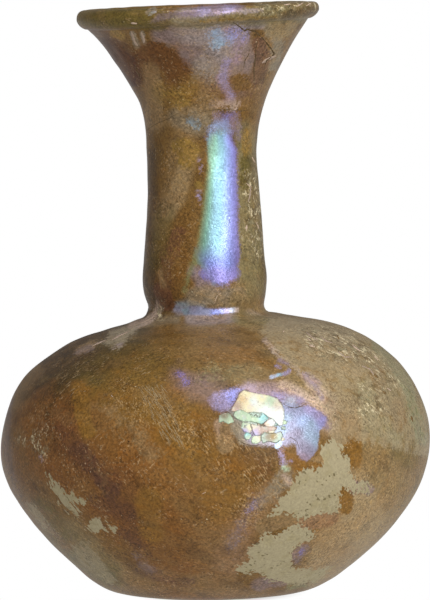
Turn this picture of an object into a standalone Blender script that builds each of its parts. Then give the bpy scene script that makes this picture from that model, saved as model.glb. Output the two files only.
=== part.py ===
"""Blown glass flask with a wide funnel mouth, a thick folded collar and a squat round body.

The flask is one hollow piece of glass, open at the mouth. It is modelled as a
stack of rings. A hand-blown flask is never quite true, so each ring has its own
sideways shift and lean as well as a height and a radius: the neck leans to the
left, and the shoulder has sagged with it. Smooth curves through a few named
rings give the outside, and the inside is the outside moved in by the thickness
of the wall.

Units are metres, +Z is up, the flask's front faces -Y, and the origin is at the
middle of the underside.
"""
import math
from typing import NamedTuple

import bmesh
import bpy
import numpy as np
from mathutils import Matrix

MM = 0.001

# Driving dimensions
RIM_HEIGHT = 0.100
RIM_RADIUS = 0.0206
COLLAR_HEIGHT = 0.0031
COLLAR_DEPTH = 0.0033
NECK_BASE_HEIGHT = 0.0492
NECK_RADIUS = 0.0093
BODY_RADIUS = 0.0365
FOOT_RADIUS = 0.0112
FOOT_SHIFT = -0.0023

# Wall thickness of the blown glass
FUNNEL_WALL = 0.0017
NECK_WALL = 0.0015
BODY_WALL = 0.0014
FLOOR_WALL = 0.0030

# The collar is a folded roll tilted to the left, squarish above and tapered beneath
COLLAR_SHIFT = -0.0029
COLLAR_LEAN = 2.3
COLLAR_ROOT_LEAN = 3.1
COLLAR_CROWN_SQUARENESS = 2.6
COLLAR_UNDER_SQUARENESS = 1.6
COLLAR_START = math.radians(180)
COLLAR_END = math.radians(-100)

# The underside is a flat resting ring around a shallow push-up
RESTING_BAND = 0.0032
PUSH_UP_HEIGHT = 0.0012

# Share of the neck's height, radius in neck radii, shift in mm, lean in degrees
NECK_PROFILE = (
    (0.942, 1.776, -2.75, 2.0),
    (0.867, 1.530, -2.50, 1.9),
    (0.793, 1.310, -2.30, 1.6),
    (0.720, 1.130, -2.10, 1.6),
    (0.670, 1.058, -2.10, 1.6),
    (0.553, 1.000, -2.20, 1.6),
    (0.437, 1.013, -2.05, 1.6),
    (0.270, 1.058, -1.85, 1.6),
    (0.165, 1.103, -1.75, 1.6),
    (0.085, 1.140, -1.65, 1.6),
    (0.038, 1.115, -1.60, 1.6),
    (0.000, 1.060, -1.45, 1.3),
)

# Share of the body's height, radius in body radii, shift in mm, lean in degrees
BODY_PROFILE = (
    (0.979, 0.277, -1.50, 1.9),
    (0.951, 0.370, -0.60, 2.4),
    (0.923, 0.525, 0.40, 2.2),
    (0.893, 0.647, 0.30, 1.7),
    (0.829, 0.790, 0.35, 1.2),
    (0.752, 0.899, 0.10, 1.1),
    (0.650, 0.970, 0.05, 1.1),
    (0.516, 1.000, 0.00, 1.4),
    (0.389, 0.965, -0.05, 0.3),
    (0.266, 0.864, -0.20, 0.0),
    (0.180, 0.761, -0.35, 0.0),
    (0.109, 0.658, -0.50, 0.0),
    (0.055, 0.571, -0.75, 0.0),
    (0.022, 0.487, -1.00, 0.2),
    (0.009, 0.390, -1.80, 0.3),
)

# How finely the solid is faceted
SEGMENTS = 60
COLLAR_ROWS = 11
NECK_ROWS = 17
BODY_ROWS = 29
PUSH_UP_ROWS = 4
INNER_NECK_ROWS = 9
INNER_BODY_ROWS = 17

# How much a full turn of the profile counts against its whole length when rows are spaced
TURN_WEIGHT = 1.6
FINE_STEPS = 600


class Ring(NamedTuple):
    """One round of the wall: its centre's height and shift, its radius and its lean."""

    height: float
    radius: float
    shift: float
    lean: float

    def placement(self):
        """Return the matrix that lays a circle about the origin where this ring lies."""
        turn = Matrix.Rotation(-math.radians(self.lean), 4, "Y")
        return Matrix.Translation((self.shift, 0.0, self.height)) @ turn


def collar_rings():
    """Return the collar's rings, over the roll from the mouth's edge to its root."""
    middle_height = RIM_HEIGHT - COLLAR_HEIGHT / 2
    middle_radius = RIM_RADIUS - COLLAR_DEPTH / 2
    rings = []
    for angle in np.linspace(COLLAR_START, COLLAR_END, COLLAR_ROWS):
        squareness = COLLAR_CROWN_SQUARENESS if math.sin(angle) > 0 else COLLAR_UNDER_SQUARENESS
        across = math.copysign(abs(math.cos(angle)) ** (2 / squareness), math.cos(angle))
        up = math.copysign(abs(math.sin(angle)) ** (2 / squareness), math.sin(angle))
        height = middle_height + up * COLLAR_HEIGHT / 2
        radius = middle_radius + across * COLLAR_DEPTH / 2
        lean = np.interp(angle, (COLLAR_END, math.radians(90)), (COLLAR_ROOT_LEAN, COLLAR_LEAN))
        rings.append(Ring(height, radius, COLLAR_SHIFT, lean))
    return rings


def named_rings(profile, low, high, unit_radius):
    """Return the rings of a profile table that runs between two heights."""
    return [Ring(low + share * (high - low), radius * unit_radius, shift * MM, lean)
            for share, radius, shift, lean in profile]


def smooth_curve(rings, steps):
    """Return an array of rings along the smooth curve that passes through the given ones.

    It is a cubic with continuous slope whose parameter is the distance from ring
    to ring, so close rings make a tight turn without a wave beside it.
    """
    values = np.array(rings)
    gaps = np.hypot(np.diff(values[:, 0]), np.diff(values[:, 1]))
    at = np.concatenate(([0.0], np.cumsum(gaps)))
    rise = np.diff(values, axis=0) / gaps[:, None]
    slope = np.empty_like(values)
    weighted = rise[:-1] * gaps[1:, None] + rise[1:] * gaps[:-1, None]
    slope[1:-1] = weighted / (gaps[1:] + gaps[:-1])[:, None]
    slope[0] = 1.5 * rise[0] - 0.5 * slope[1]
    slope[-1] = 1.5 * rise[-1] - 0.5 * slope[-2]

    wanted = np.linspace(0.0, at[-1], steps)
    left = np.clip(np.searchsorted(at, wanted, side="right") - 1, 0, len(gaps) - 1)
    width = gaps[left][:, None]
    s = (wanted - at[left])[:, None] / width
    return ((2 * s**3 - 3 * s**2 + 1) * values[left]
            + (s**3 - 2 * s**2 + s) * width * slope[left]
            + (3 * s**2 - 2 * s**3) * values[left + 1]
            + (s**3 - s**2) * width * slope[left + 1])


def spaced(fine, rows):
    """Return a few rows of a fine curve, closer together where the profile turns."""
    step = np.diff(fine[:, :2], axis=0)
    length = np.hypot(step[:, 0], step[:, 1])
    heading = np.unwrap(np.arctan2(step[:, 0], step[:, 1]))
    turn = np.abs(np.diff(heading, prepend=heading[0]))
    effort = length / length.sum() + TURN_WEIGHT * turn / (2 * math.pi)
    travelled = np.concatenate(([0.0], np.cumsum(effort)))
    wanted = np.linspace(0.0, travelled[-1], rows)
    return np.column_stack([np.interp(wanted, travelled, column) for column in fine.T])


def wall_at(height):
    """Return the thickness of the wall beside an outer ring of the given height."""
    thick_floor_to = 0.02 * NECK_BASE_HEIGHT
    thin_wall_from = 0.16 * NECK_BASE_HEIGHT
    thin_wall_to = 0.90 * NECK_BASE_HEIGHT
    neck_wall_from = 1.05 * NECK_BASE_HEIGHT
    neck_wall_to = 0.80 * RIM_HEIGHT
    return np.interp(
        height,
        (thick_floor_to, thin_wall_from, thin_wall_to, neck_wall_from, neck_wall_to, RIM_HEIGHT),
        (FLOOR_WALL, BODY_WALL, BODY_WALL, NECK_WALL, NECK_WALL, FUNNEL_WALL))


def moved_in(fine):
    """Return the rings of the inner face: the outer ones moved square to the wall."""
    down = np.gradient(fine[:, 0])
    out = np.gradient(fine[:, 1])
    length = np.hypot(down, out)
    wall = wall_at(fine[:, 0])
    inner = fine.copy()
    inner[:, 0] -= wall * out / length
    inner[:, 1] += wall * down / length
    return inner


def underside_rings():
    """Return the flat resting band and the shallow push-up inside it."""
    inner_edge = FOOT_RADIUS - RESTING_BAND
    rings = [Ring(0.0, FOOT_RADIUS, FOOT_SHIFT, 0.0)]
    for radius in np.linspace(inner_edge, inner_edge / PUSH_UP_ROWS, PUSH_UP_ROWS):
        height = PUSH_UP_HEIGHT * (1 + math.cos(math.pi * radius / inner_edge)) / 2
        rings.append(Ring(height, radius, FOOT_SHIFT, 0.0))
    return rings


def flask_rings():
    """Return every ring in order: up the inside, over the collar, down the outside."""
    collar = collar_rings()
    root = collar[-1]
    neck = named_rings(NECK_PROFILE, NECK_BASE_HEIGHT, root.height, NECK_RADIUS)
    body = named_rings(BODY_PROFILE, 0.0, NECK_BASE_HEIGHT, BODY_RADIUS)
    underside = underside_rings()

    fine_neck = smooth_curve([root] + neck, FINE_STEPS)
    fine_body = smooth_curve([neck[-1]] + body + [underside[0]], FINE_STEPS)
    outside = collar[:-1]
    outside += [Ring(*row) for row in spaced(fine_neck, NECK_ROWS)[:-1]]
    outside += [Ring(*row) for row in spaced(fine_body, BODY_ROWS)[:-1]]
    outside += underside

    below_root = fine_neck[FINE_STEPS // 20:]
    inside = [Ring(*row) for row in spaced(moved_in(below_root), INNER_NECK_ROWS)[:-1]]
    floor = np.vstack([fine_body, smooth_curve(underside, FINE_STEPS // 4)[1:]])
    inside += [Ring(*row) for row in spaced(moved_in(floor), INNER_BODY_ROWS)]
    return inside[::-1] + outside


def glass_material():
    """Return the glass of the flask, under its brown and olive weathering crust."""
    material = bpy.data.materials.new("weathered_glass")
    material.use_nodes = True
    shader = material.node_tree.nodes["Principled BSDF"]
    shader.inputs["Base Color"].default_value = (0.21, 0.12, 0.055, 1.0)
    shader.inputs["Roughness"].default_value = 0.38
    shader.inputs["Metallic"].default_value = 0.0
    shader.inputs["IOR"].default_value = 1.5
    material.diffuse_color = (0.21, 0.12, 0.055, 1.0)
    return material


def make_flask():
    """Build the flask as one closed, hollow mesh and return its object."""
    shape = bmesh.new()
    loops = []
    for ring in flask_rings():
        circle = bmesh.ops.create_circle(
            shape, cap_ends=False, segments=SEGMENTS, radius=ring.radius, matrix=ring.placement())
        loops.append(list({edge for vert in circle["verts"] for edge in vert.link_edges}))
    for lower, upper in zip(loops, loops[1:]):
        bmesh.ops.bridge_loops(shape, edges=lower + upper)
    bmesh.ops.edgeloop_fill(shape, edges=loops[0])
    bmesh.ops.edgeloop_fill(shape, edges=loops[-1])
    bmesh.ops.recalc_face_normals(shape, faces=shape.faces)

    mesh = bpy.data.meshes.new("flask")
    shape.to_mesh(mesh)
    shape.free()
    mesh.shade_smooth()
    mesh.set_sharp_from_angle(angle=math.radians(40))
    mesh.materials.append(glass_material())
    flask = bpy.data.objects.new("flask", mesh)
    bpy.context.scene.collection.objects.link(flask)
    return flask


def main():
    """Clear the scene and model the flask."""
    for old in list(bpy.data.objects):
        bpy.data.objects.remove(old, do_unlink=True)
    make_flask()


main()
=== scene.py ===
"""The looks of a small blown glass flask that lay in the ground until its surface weathered.

The flask keeps the CAD model's form: rings that shift and lean, so that the neck
leans to the left and the shoulder has sagged with it. This script makes the same
form with a finer grid, adds the low relief of hand-blown glass, and dresses it in
what the weathering left: brown and olive crust, bare khaki patches where the crust
has flaked off, cream lime, and thin iridescent films that catch the light. Light is
also painted into the colours: highlights down the neck, on the collar, at the neck's
foot and about the shoulder's flakes, a glow in the body's middle, a pale band that
lifts the shadow under the collar, and a rim light along the body's left edge.

Marks are placed by where they lie in the photograph, in pixels of its 430 x 600
frame, and are carried onto the surface along the lines of sight.
"""
import logging
import math
from dataclasses import dataclass
from enum import Enum, IntEnum
from typing import NamedTuple, Optional, Sequence

import bpy
import numpy as np
from bpy.types import Material, Mesh, Node, NodeSocket, NodeTree, Object, World
from mathutils import Matrix, Vector
from mathutils.bvhtree import BVHTree
from mathutils.geometry import delaunay_2d_cdt


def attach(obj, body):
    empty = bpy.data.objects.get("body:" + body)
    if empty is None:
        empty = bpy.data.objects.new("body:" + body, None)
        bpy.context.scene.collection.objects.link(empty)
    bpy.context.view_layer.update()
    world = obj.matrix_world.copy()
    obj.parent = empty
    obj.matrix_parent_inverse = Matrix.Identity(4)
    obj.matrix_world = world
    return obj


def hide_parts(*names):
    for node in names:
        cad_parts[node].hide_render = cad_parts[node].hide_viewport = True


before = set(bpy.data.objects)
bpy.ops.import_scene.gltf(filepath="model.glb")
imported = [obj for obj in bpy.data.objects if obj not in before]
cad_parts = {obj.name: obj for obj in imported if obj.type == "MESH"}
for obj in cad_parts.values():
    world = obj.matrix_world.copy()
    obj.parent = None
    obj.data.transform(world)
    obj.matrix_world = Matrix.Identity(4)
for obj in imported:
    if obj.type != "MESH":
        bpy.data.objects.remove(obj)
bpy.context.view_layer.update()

MM = 0.001
LOG = logging.getLogger("flask")

Array = np.ndarray
Pair = tuple[float, float]
Triple = tuple[float, float, float]
Points = Sequence[Pair]
Faces = list[list[int]]
Dressing = tuple[Node, Node, Node | float, Node | float]


class Seed(IntEnum):
    """The seeds of the random patterns, one each, so that every run gives the same flask."""

    DRIFT_ACROSS = 11
    DRIFT_DOWN = 12
    WOBBLE_COARSE = 21
    WOBBLE_FINE = 22
    SAG = 31
    RIPPLE = 32
    DRAW_LINES = 33
    CURLS = 41
    RIMS = 42
    CHIPS = 51
    SCRATCHES = 52
    FLAKES = 100


def linear(hex_colour: str) -> tuple[float, float, float, float]:
    """Turn an sRGB hex colour into linear red, green, blue and an alpha of one.

    Args:
        hex_colour: the colour as "#rrggbb".

    Returns:
        The linear colour, as shader sockets and colour attributes take it.
    """
    parts = [int(hex_colour[at:at + 2], 16) / 255 for at in (1, 3, 5)]
    red, green, blue = [
        part / 12.92 if part <= 0.04045 else ((part + 0.055) / 1.055) ** 2.4 for part in parts]
    return red, green, blue, 1.0


def smoothstep(low: float, high: float, values: Array) -> Array:
    """Return 0 below low, 1 above high, and 3t^2 - 2t^3 of the share t between them."""
    share = np.clip((values - low) / (high - low), 0.0, 1.0)
    return share * share * (3.0 - 2.0 * share)


def waves(points: Array, length: float, seed: int, count: int = 18) -> Array:
    """Return smooth noise: a sum of plane waves in random directions.

    Each wave is cos(2 pi (direction . point) / its length + its phase), and the
    lengths lie within a third of the one asked for.

    Args:
        points: the points in metres, one row each.
        length: the typical wave length in metres.
        seed: picks the waves, so that the result is the same each run.
        count: how many waves are summed.

    Returns:
        One value a point, about zero, mostly between -1 and 1.
    """
    random = np.random.default_rng(seed)
    directions = random.normal(size=(count, 3))
    directions /= np.linalg.norm(directions, axis=1, keepdims=True)
    lengths = length * random.uniform(0.67, 1.33, count)
    phases = random.uniform(0.0, 2 * math.pi, count)
    total = np.cos(points @ (2 * math.pi * directions / lengths[:, None]).T + phases).sum(axis=1)
    return total / math.sqrt(count)


@dataclass(frozen=True)
class PhotoView:
    """The photograph's viewpoint, as the flask's outline gives it."""

    camera: Triple = (0.0, -0.900, 0.112)
    aim: Triple = (0.0, 0.0, 0.050)
    mm_per_pixel: float = 0.170
    width: int = 430
    height: int = 600
    sensor: float = 36.0
    far: float = 30.0

    @property
    def distance(self) -> float:
        """Return the distance from the camera to what it aims at."""
        return math.dist(self.camera, self.aim)

    @property
    def focal_pixels(self) -> float:
        """Return the focal length in pixels."""
        return self.distance / (self.mm_per_pixel * MM)

    def axes(self) -> tuple[Array, Array, Array]:
        """Return the camera's right, up and forward directions."""
        forward = (np.array(self.aim) - np.array(self.camera)) / self.distance
        right = np.array((1.0, 0.0, 0.0))
        return right, np.cross(right, forward), forward

    def pixels(self, points: Array) -> Array:
        """Return where points appear: the offset over the depth, times the focal length.

        Args:
            points: the points in metres, one row each.

        Returns:
            Their places in the photograph's frame, x to the right and y down.
        """
        right, up, forward = self.axes()
        ray = points - np.array(self.camera)
        depth = ray @ forward
        across = self.width / 2 + self.focal_pixels * (ray @ right) / depth
        down = self.height / 2 - self.focal_pixels * (ray @ up) / depth
        return np.column_stack((across, down))

    def rays(self, pixels: Array) -> Array:
        """Return the lines of sight through pixels, one direction each."""
        right, up, forward = self.axes()
        across = (pixels[:, :1] - self.width / 2) / self.focal_pixels
        down = (pixels[:, 1:] - self.height / 2) / self.focal_pixels
        return forward + right * across - up * down

    def make_camera(self) -> Object:
        """Build the camera and make it the scene's own."""
        data = bpy.data.cameras.new("camera")
        data.sensor_width = self.sensor
        data.lens = self.focal_pixels / self.height * self.sensor
        data.clip_end = self.far
        camera = bpy.data.objects.new("camera", data)
        right, up, forward = self.axes()
        turn = Matrix((right, up, -forward)).transposed().to_4x4()
        camera.matrix_world = Matrix.Translation(self.camera) @ turn
        bpy.context.scene.collection.objects.link(camera)
        bpy.context.scene.camera = camera
        return camera


class Ring(NamedTuple):
    """One round of the wall: its centre's height and shift, its radius and its lean."""

    height: float
    radius: float
    shift: float
    lean: float


def smooth_curve(rings: Sequence[Ring], steps: int) -> Array:
    """Return rows along the smooth curve through the given rings.

    It is a cubic with continuous slope whose parameter is the distance from ring
    to ring: h00 p0 + h10 m0 + h01 p1 + h11 m1, with the Hermite weights h.

    Args:
        rings: the rings that the curve passes through.
        steps: the number of rows wanted.

    Returns:
        One row of height, radius, shift and lean for each step.
    """
    values = np.array(rings)
    gaps = np.hypot(np.diff(values[:, 0]), np.diff(values[:, 1]))
    at = np.concatenate(([0.0], np.cumsum(gaps)))
    rise = np.diff(values, axis=0) / gaps[:, None]
    slope = np.empty_like(values)
    weighted = rise[:-1] * gaps[1:, None] + rise[1:] * gaps[:-1, None]
    slope[1:-1] = weighted / (gaps[1:] + gaps[:-1])[:, None]
    slope[0] = 1.5 * rise[0] - 0.5 * slope[1]
    slope[-1] = 1.5 * rise[-1] - 0.5 * slope[-2]
    wanted = np.linspace(0.0, at[-1], steps)
    left = np.clip(np.searchsorted(at, wanted, side="right") - 1, 0, len(gaps) - 1)
    width = gaps[left][:, None]
    s = (wanted - at[left])[:, None] / width
    return ((2 * s**3 - 3 * s**2 + 1) * values[left]
            + (s**3 - 2 * s**2 + s) * width * slope[left]
            + (3 * s**2 - 2 * s**3) * values[left + 1]
            + (s**3 - s**2) * width * slope[left + 1])


@dataclass(frozen=True)
class FlaskForm:
    """The sizes of the blown flask, in metres, and the rings that they give."""

    rim_height: float = 0.100
    rim_radius: float = 0.0206
    collar_height: float = 0.0031
    collar_depth: float = 0.0033
    neck_base_height: float = 0.0492
    neck_radius: float = 0.0093
    body_radius: float = 0.0365
    foot_radius: float = 0.0112
    foot_shift: float = -0.0023
    funnel_wall: float = 0.0017
    neck_wall: float = 0.0015
    body_wall: float = 0.0014
    floor_wall: float = 0.0030
    collar_shift: float = -0.0029
    collar_lean: float = 2.3
    collar_root_lean: float = 3.1
    crown_squareness: float = 2.6
    under_squareness: float = 1.6
    collar_start: float = math.radians(180)
    collar_end: float = math.radians(-100)
    resting_band: float = 0.0032
    push_up_height: float = 0.0012
    # Share of the neck's height, radius in neck radii, shift in mm, lean in degrees
    neck_profile: tuple[tuple[float, float, float, float], ...] = (
        (0.942, 1.776, -2.75, 2.0), (0.867, 1.530, -2.50, 1.9), (0.793, 1.310, -2.30, 1.6),
        (0.720, 1.130, -2.10, 1.6), (0.670, 1.058, -2.10, 1.6), (0.553, 1.000, -2.20, 1.6),
        (0.437, 1.013, -2.05, 1.6), (0.270, 1.058, -1.85, 1.6), (0.165, 1.103, -1.75, 1.6),
        (0.085, 1.140, -1.65, 1.6), (0.038, 1.115, -1.60, 1.6), (0.000, 1.060, -1.45, 1.3))
    # Share of the body's height, radius in body radii, shift in mm, lean in degrees
    body_profile: tuple[tuple[float, float, float, float], ...] = (
        (0.979, 0.277, -1.50, 1.9), (0.951, 0.370, -0.60, 2.4), (0.923, 0.525, 0.40, 2.2),
        (0.893, 0.647, 0.30, 1.7), (0.829, 0.790, 0.35, 1.2), (0.752, 0.899, 0.10, 1.1),
        (0.650, 0.970, 0.05, 1.1), (0.516, 1.000, 0.00, 1.4), (0.389, 0.965, -0.05, 0.3),
        (0.266, 0.864, -0.20, 0.0), (0.180, 0.761, -0.35, 0.0), (0.109, 0.658, -0.50, 0.0),
        (0.055, 0.571, -0.75, 0.0), (0.022, 0.487, -1.00, 0.2), (0.009, 0.390, -1.80, 0.3))
    fine_steps: int = 900
    collar_steps: int = 160
    underside_steps: int = 24
    push_up_steps: int = 225
    root_steps: int = 45

    def collar(self, steps: int) -> list[Ring]:
        """Return the collar's rings, over the roll from the mouth's edge to its root.

        The section is a superellipse: cos and sin of the angle, each to the power
        2 over the squareness.

        Args:
            steps: the number of rings.

        Returns:
            The rings in order.
        """
        middle_height = self.rim_height - self.collar_height / 2
        middle_radius = self.rim_radius - self.collar_depth / 2
        rings = []
        for angle in np.linspace(self.collar_start, self.collar_end, steps):
            power = 2 / (self.crown_squareness if math.sin(angle) > 0 else self.under_squareness)
            across = math.copysign(abs(math.cos(angle)) ** power, math.cos(angle))
            up = math.copysign(abs(math.sin(angle)) ** power, math.sin(angle))
            lean = np.interp(angle, (self.collar_end, math.pi / 2),
                             (self.collar_root_lean, self.collar_lean))
            rings.append(Ring(middle_height + up * self.collar_height / 2,
                              middle_radius + across * self.collar_depth / 2,
                              self.collar_shift, lean))
        return rings

    def named(self, profile: Sequence[Sequence[float]], low: float, high: float,
              unit: float) -> list[Ring]:
        """Return the rings of a profile table that runs between two heights."""
        return [Ring(low + share * (high - low), radius * unit, shift * MM, lean)
                for share, radius, shift, lean in profile]

    def underside(self, steps: int) -> list[Ring]:
        """Return the flat resting band and the shallow cosine push-up inside it."""
        inner_edge = self.foot_radius - self.resting_band
        rings = [Ring(0.0, self.foot_radius, self.foot_shift, 0.0)]
        for radius in np.linspace(inner_edge, inner_edge / steps, steps):
            height = self.push_up_height * (1 + math.cos(math.pi * radius / inner_edge)) / 2
            rings.append(Ring(height, radius, self.foot_shift, 0.0))
        return rings

    def wall_at(self, height: Array) -> Array:
        """Return the wall's thickness beside outer rings of the given heights.

        It is even over the floor, the body, the neck and the rim, and slopes between them.

        Args:
            height: the rings' heights.

        Returns:
            One thickness a ring.
        """
        base, rim = self.neck_base_height, self.rim_height
        return np.interp(
            height, (0.02 * base, 0.16 * base, 0.90 * base, 1.05 * base, 0.80 * rim, rim),
            (self.floor_wall, self.body_wall, self.body_wall, self.neck_wall, self.neck_wall,
             self.funnel_wall))

    def moved_in(self, fine: Array) -> Array:
        """Return the rows of the inner face: the outer ones moved square to the wall."""
        down = np.gradient(fine[:, 0])
        out = np.gradient(fine[:, 1])
        length = np.hypot(down, out)
        wall = self.wall_at(fine[:, 0])
        inner = fine.copy()
        inner[:, 0] -= wall * out / length
        inner[:, 1] += wall * down / length
        return inner

    def faces(self) -> tuple[Array, Array]:
        """Return fine rows of the outside, from the mouth down, and of the inside, upward."""
        collar = self.collar(self.collar_steps)
        root = collar[-1]
        neck = self.named(self.neck_profile, self.neck_base_height, root.height, self.neck_radius)
        body = self.named(self.body_profile, 0.0, self.neck_base_height, self.body_radius)
        underside = self.underside(self.underside_steps)
        fine_neck = smooth_curve([root] + neck, self.fine_steps)
        fine_body = smooth_curve([neck[-1]] + body + [underside[0]], self.fine_steps)
        outside = np.vstack((np.array(collar[:-1]), fine_neck[:-1], fine_body[:-1],
                             np.array(underside)))
        below_root = self.moved_in(fine_neck[self.root_steps:])
        floor = np.vstack((fine_body, smooth_curve(underside, self.push_up_steps)[1:]))
        inside = np.vstack((below_root[:-1], self.moved_in(floor)))
        return outside, inside[::-1]


def resampled(fine: Array, density: Array, rows: int) -> Array:
    """Return a few rows of a fine curve, closer together where the density is higher.

    Equal steps are taken of the running sum of length times density.

    Args:
        fine: the fine rows.
        density: how many times closer the rows lie at each fine row.
        rows: the number of rows wanted.

    Returns:
        The chosen rows, ends included.
    """
    step = np.hypot(np.diff(fine[:, 0]), np.diff(fine[:, 1]))
    effort = np.concatenate(([0.0], np.cumsum(step * (density[1:] + density[:-1]) / 2)))
    wanted = np.linspace(0.0, effort[-1], rows)
    return np.column_stack([np.interp(wanted, effort, column) for column in fine.T])


class Tone(Enum):
    """The colours that the glass, its weathering and the highlights painted on it show, each named for
    what it is.
    """

    BROWN = "#72552a"
    AMBER = "#7e5b26"
    GOLD = "#8a6e34"
    UMBER = "#443218"
    RUST = "#5f3f1a"
    EMBER = "#4c2a0e"
    SIENNA = "#7b5327"
    MAROON = "#62412a"
    PLUM = "#6b503c"
    WINE = "#543a2c"
    OLIVE = "#625628"
    TAN = "#866c48"
    SAND = "#8d7852"
    DUNE = "#a08a66"
    FAWN = "#8e6e4e"
    KHAKI = "#807552"
    SAGE = "#727a58"
    STONE = "#857862"
    MAUVE = "#7f6d69"
    ASH = "#928580"
    HEATHER = "#937f8c"
    BLUSH = "#b39ea8"
    MIST = "#9d92b4"
    HAZE = "#a4b4d6"
    FOG = "#94a4b8"
    PERIWINKLE = "#9496b0"
    SLATE = "#888294"
    MINT = "#a4b4a6"
    SHELL = "#ae9888"
    LILAC = "#aa9ec4"
    VIOLET = "#8a7ecc"
    GRAPE = "#8278b0"
    INDIGO = "#9096d0"
    DUSK = "#757eb8"
    THISTLE = "#9288c6"
    IRIS = "#9ea2e6"
    BLUE = "#9cb4e4"
    ICE = "#b0d6ec"
    FROST = "#c2cadb"
    CYAN = "#9accca"
    JADE = "#80ab98"
    GLACIER = "#83abba"
    POOL = "#92a4ca"
    TEAL = "#7d8c94"
    LEAF = "#86865a"
    PALE_GREEN = "#b4c9a8"
    YELLOW = "#e6dcb0"
    PEACH = "#d6b98a"
    ROSE = "#cbb29c"
    CREAM = "#d0c6ae"
    PEARL = "#dde4de"
    MILK = "#8a7a62"

    @property
    def rgb(self) -> Array:
        """Return the tone's linear red, green and blue."""
        return np.array(linear(self.value)[:3])


Anchors = Sequence[tuple[Tone, float, float]]

# How far noise moves an edge: as a share of its fade, and for a streak in pixels
MARK_WOBBLE = 0.25
SHEEN_WOBBLE = 0.12
STREAK_WOBBLE = 0.5

# A ribbon's steps in pixels, the share of its width at its ends, and its random factor
RIBBON_STEP = 1.5
RIBBON_END = 0.35
RIBBON_UNEVEN = (0.5, 1.2)


def along(pixels: Array, path: Points) -> Array:
    """Return each point's distance from a line: the least over the line's stretches.

    Args:
        pixels: the points, one row each.
        path: the corners of the line, or one point alone.

    Returns:
        One distance a point.
    """
    corners = np.array(path, dtype=float)
    if len(corners) == 1:
        return np.linalg.norm(pixels - corners[0], axis=1)
    best = np.full(len(pixels), np.inf)
    for start, end in zip(corners[:-1], corners[1:]):
        run = end - start
        share = np.clip((pixels - start) @ run / (run @ run), 0.0, 1.0)
        best = np.minimum(best, np.linalg.norm(pixels - start - share[:, None] * run, axis=1))
    return best


def depth_inside(pixels: Array, outline: Points) -> Array:
    """Return how deep each point lies inside a closed outline, negative outside.

    The size is the distance from the outline. The sign comes from counting how
    often a line to the right of the point crosses it.

    Args:
        pixels: the points, one row each.
        outline: the corners, without the first one repeated.

    Returns:
        One depth a point.
    """
    closed = list(outline) + [outline[0]]
    inside = np.zeros(len(pixels), dtype=bool)
    x, y = pixels[:, 0], pixels[:, 1]
    for (x0, y0), (x1, y1) in zip(closed[:-1], closed[1:]):
        if y0 == y1:
            continue
        crosses = (y0 > y) != (y1 > y)
        inside ^= crosses & (x < (x1 - x0) * (y - y0) / (y1 - y0) + x0)
    return np.where(inside, 1.0, -1.0) * along(pixels, closed)


def blended(pixels: Array, tones: Anchors, blur: float = 5.0, fall: float = 1.5) -> Array:
    """Return the colour that each point takes from the tones around it.

    A tone's weight is 1 / (dx^2 + dy^2 + blur)^fall, with the point's distance
    across and down from the tone's own pixel.

    Args:
        pixels: the points, one row each.
        tones: each tone with its pixel.
        blur: how softly one tone gives way to the next, in square pixels.
        fall: how fast a tone's weight falls with the distance.

    Returns:
        One linear colour a point.
    """
    total = np.zeros((len(pixels), 3))
    weights = np.zeros((len(pixels), 1))
    for tone, x, y in tones:
        apart = (pixels[:, 0] - x) ** 2 + (pixels[:, 1] - y) ** 2
        weight = ((apart + blur) ** -fall)[:, None]
        total += weight * tone.rgb
        weights += weight
    return total / weights


@dataclass(frozen=True)
class Mark:
    """A soft-edged stroke of one tone, along a line of photograph pixels.

    width is the stroke's half width and fade the distance over which it dies
    away, both in pixels.
    """

    tone: Tone
    path: Points
    width: float
    fade: float
    strength: float = 1.0

    def weight(self, pixels: Array, wobble: Array) -> Array:
        """Return the strength within the width, falling smoothly to nothing over the fade."""
        distance = along(pixels, self.path) + MARK_WOBBLE * self.fade * wobble
        return self.strength * (1.0 - smoothstep(self.width, self.width + self.fade, distance))

    def colour(self, pixels: Array) -> Array:
        """Return the tone's linear colour."""
        return self.tone.rgb


@dataclass(frozen=True)
class Sheen:
    """An area of film, or of painted highlight in film tones, whose colour runs smoothly between tones
    at named pixels.
    """

    outline: Points
    tones: Anchors
    fade: float
    strength: float = 1.0

    def weight(self, pixels: Array, wobble: Array) -> Array:
        """Return the strength inside the outline, falling smoothly over the fade about it."""
        depth = depth_inside(pixels, self.outline) + SHEEN_WOBBLE * self.fade * wobble
        return self.strength * smoothstep(-self.fade / 2, self.fade / 2, depth)

    def colour(self, pixels: Array) -> Array:
        """Return the linear colour that the tones give each point."""
        return blended(pixels, self.tones)


@dataclass(frozen=True)
class Streak:
    """A long streak of painted highlight, in the tones of iridescent film, that run across it from its
    left edge to its right.

    Both edges are lines of pixels, from the top down. Its ends fade over a length
    that is longer than the fade across it by the ratio called taper.
    """

    left: Points
    right: Points
    tones: tuple[Tone, ...]
    fade: float
    strength: float = 1.0
    taper: float = 1.0

    def sides(self, pixels: Array) -> tuple[Array, Array]:
        """Return how far right each point lies of the left edge, and left of the right one."""
        x, y = pixels.T
        left, right = np.array(self.left).T, np.array(self.right).T
        return x - np.interp(y, left[1], left[0]), np.interp(y, right[1], right[0]) - x

    def weight(self, pixels: Array, wobble: Array) -> Array:
        """Return the strength between the edges, falling smoothly over the fade about them."""
        top, bottom = self.left[0][1], self.left[-1][1]
        ends = np.minimum(pixels[:, 1] - top, bottom - pixels[:, 1]) / self.taper
        depth = np.min([*self.sides(pixels), ends], axis=0) + STREAK_WOBBLE * wobble
        return self.strength * smoothstep(-self.fade / 2, self.fade / 2, depth)

    def colour(self, pixels: Array) -> Array:
        """Return the linear colours, mixed between the tones by the share of the way across."""
        from_left, from_right = self.sides(pixels)
        share = from_left / (from_left + from_right)
        steps = np.linspace(0.0, 1.0, len(self.tones))
        ramp = np.array([tone.rgb for tone in self.tones])
        return np.column_stack([np.interp(share, steps, column) for column in ramp.T])


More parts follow.
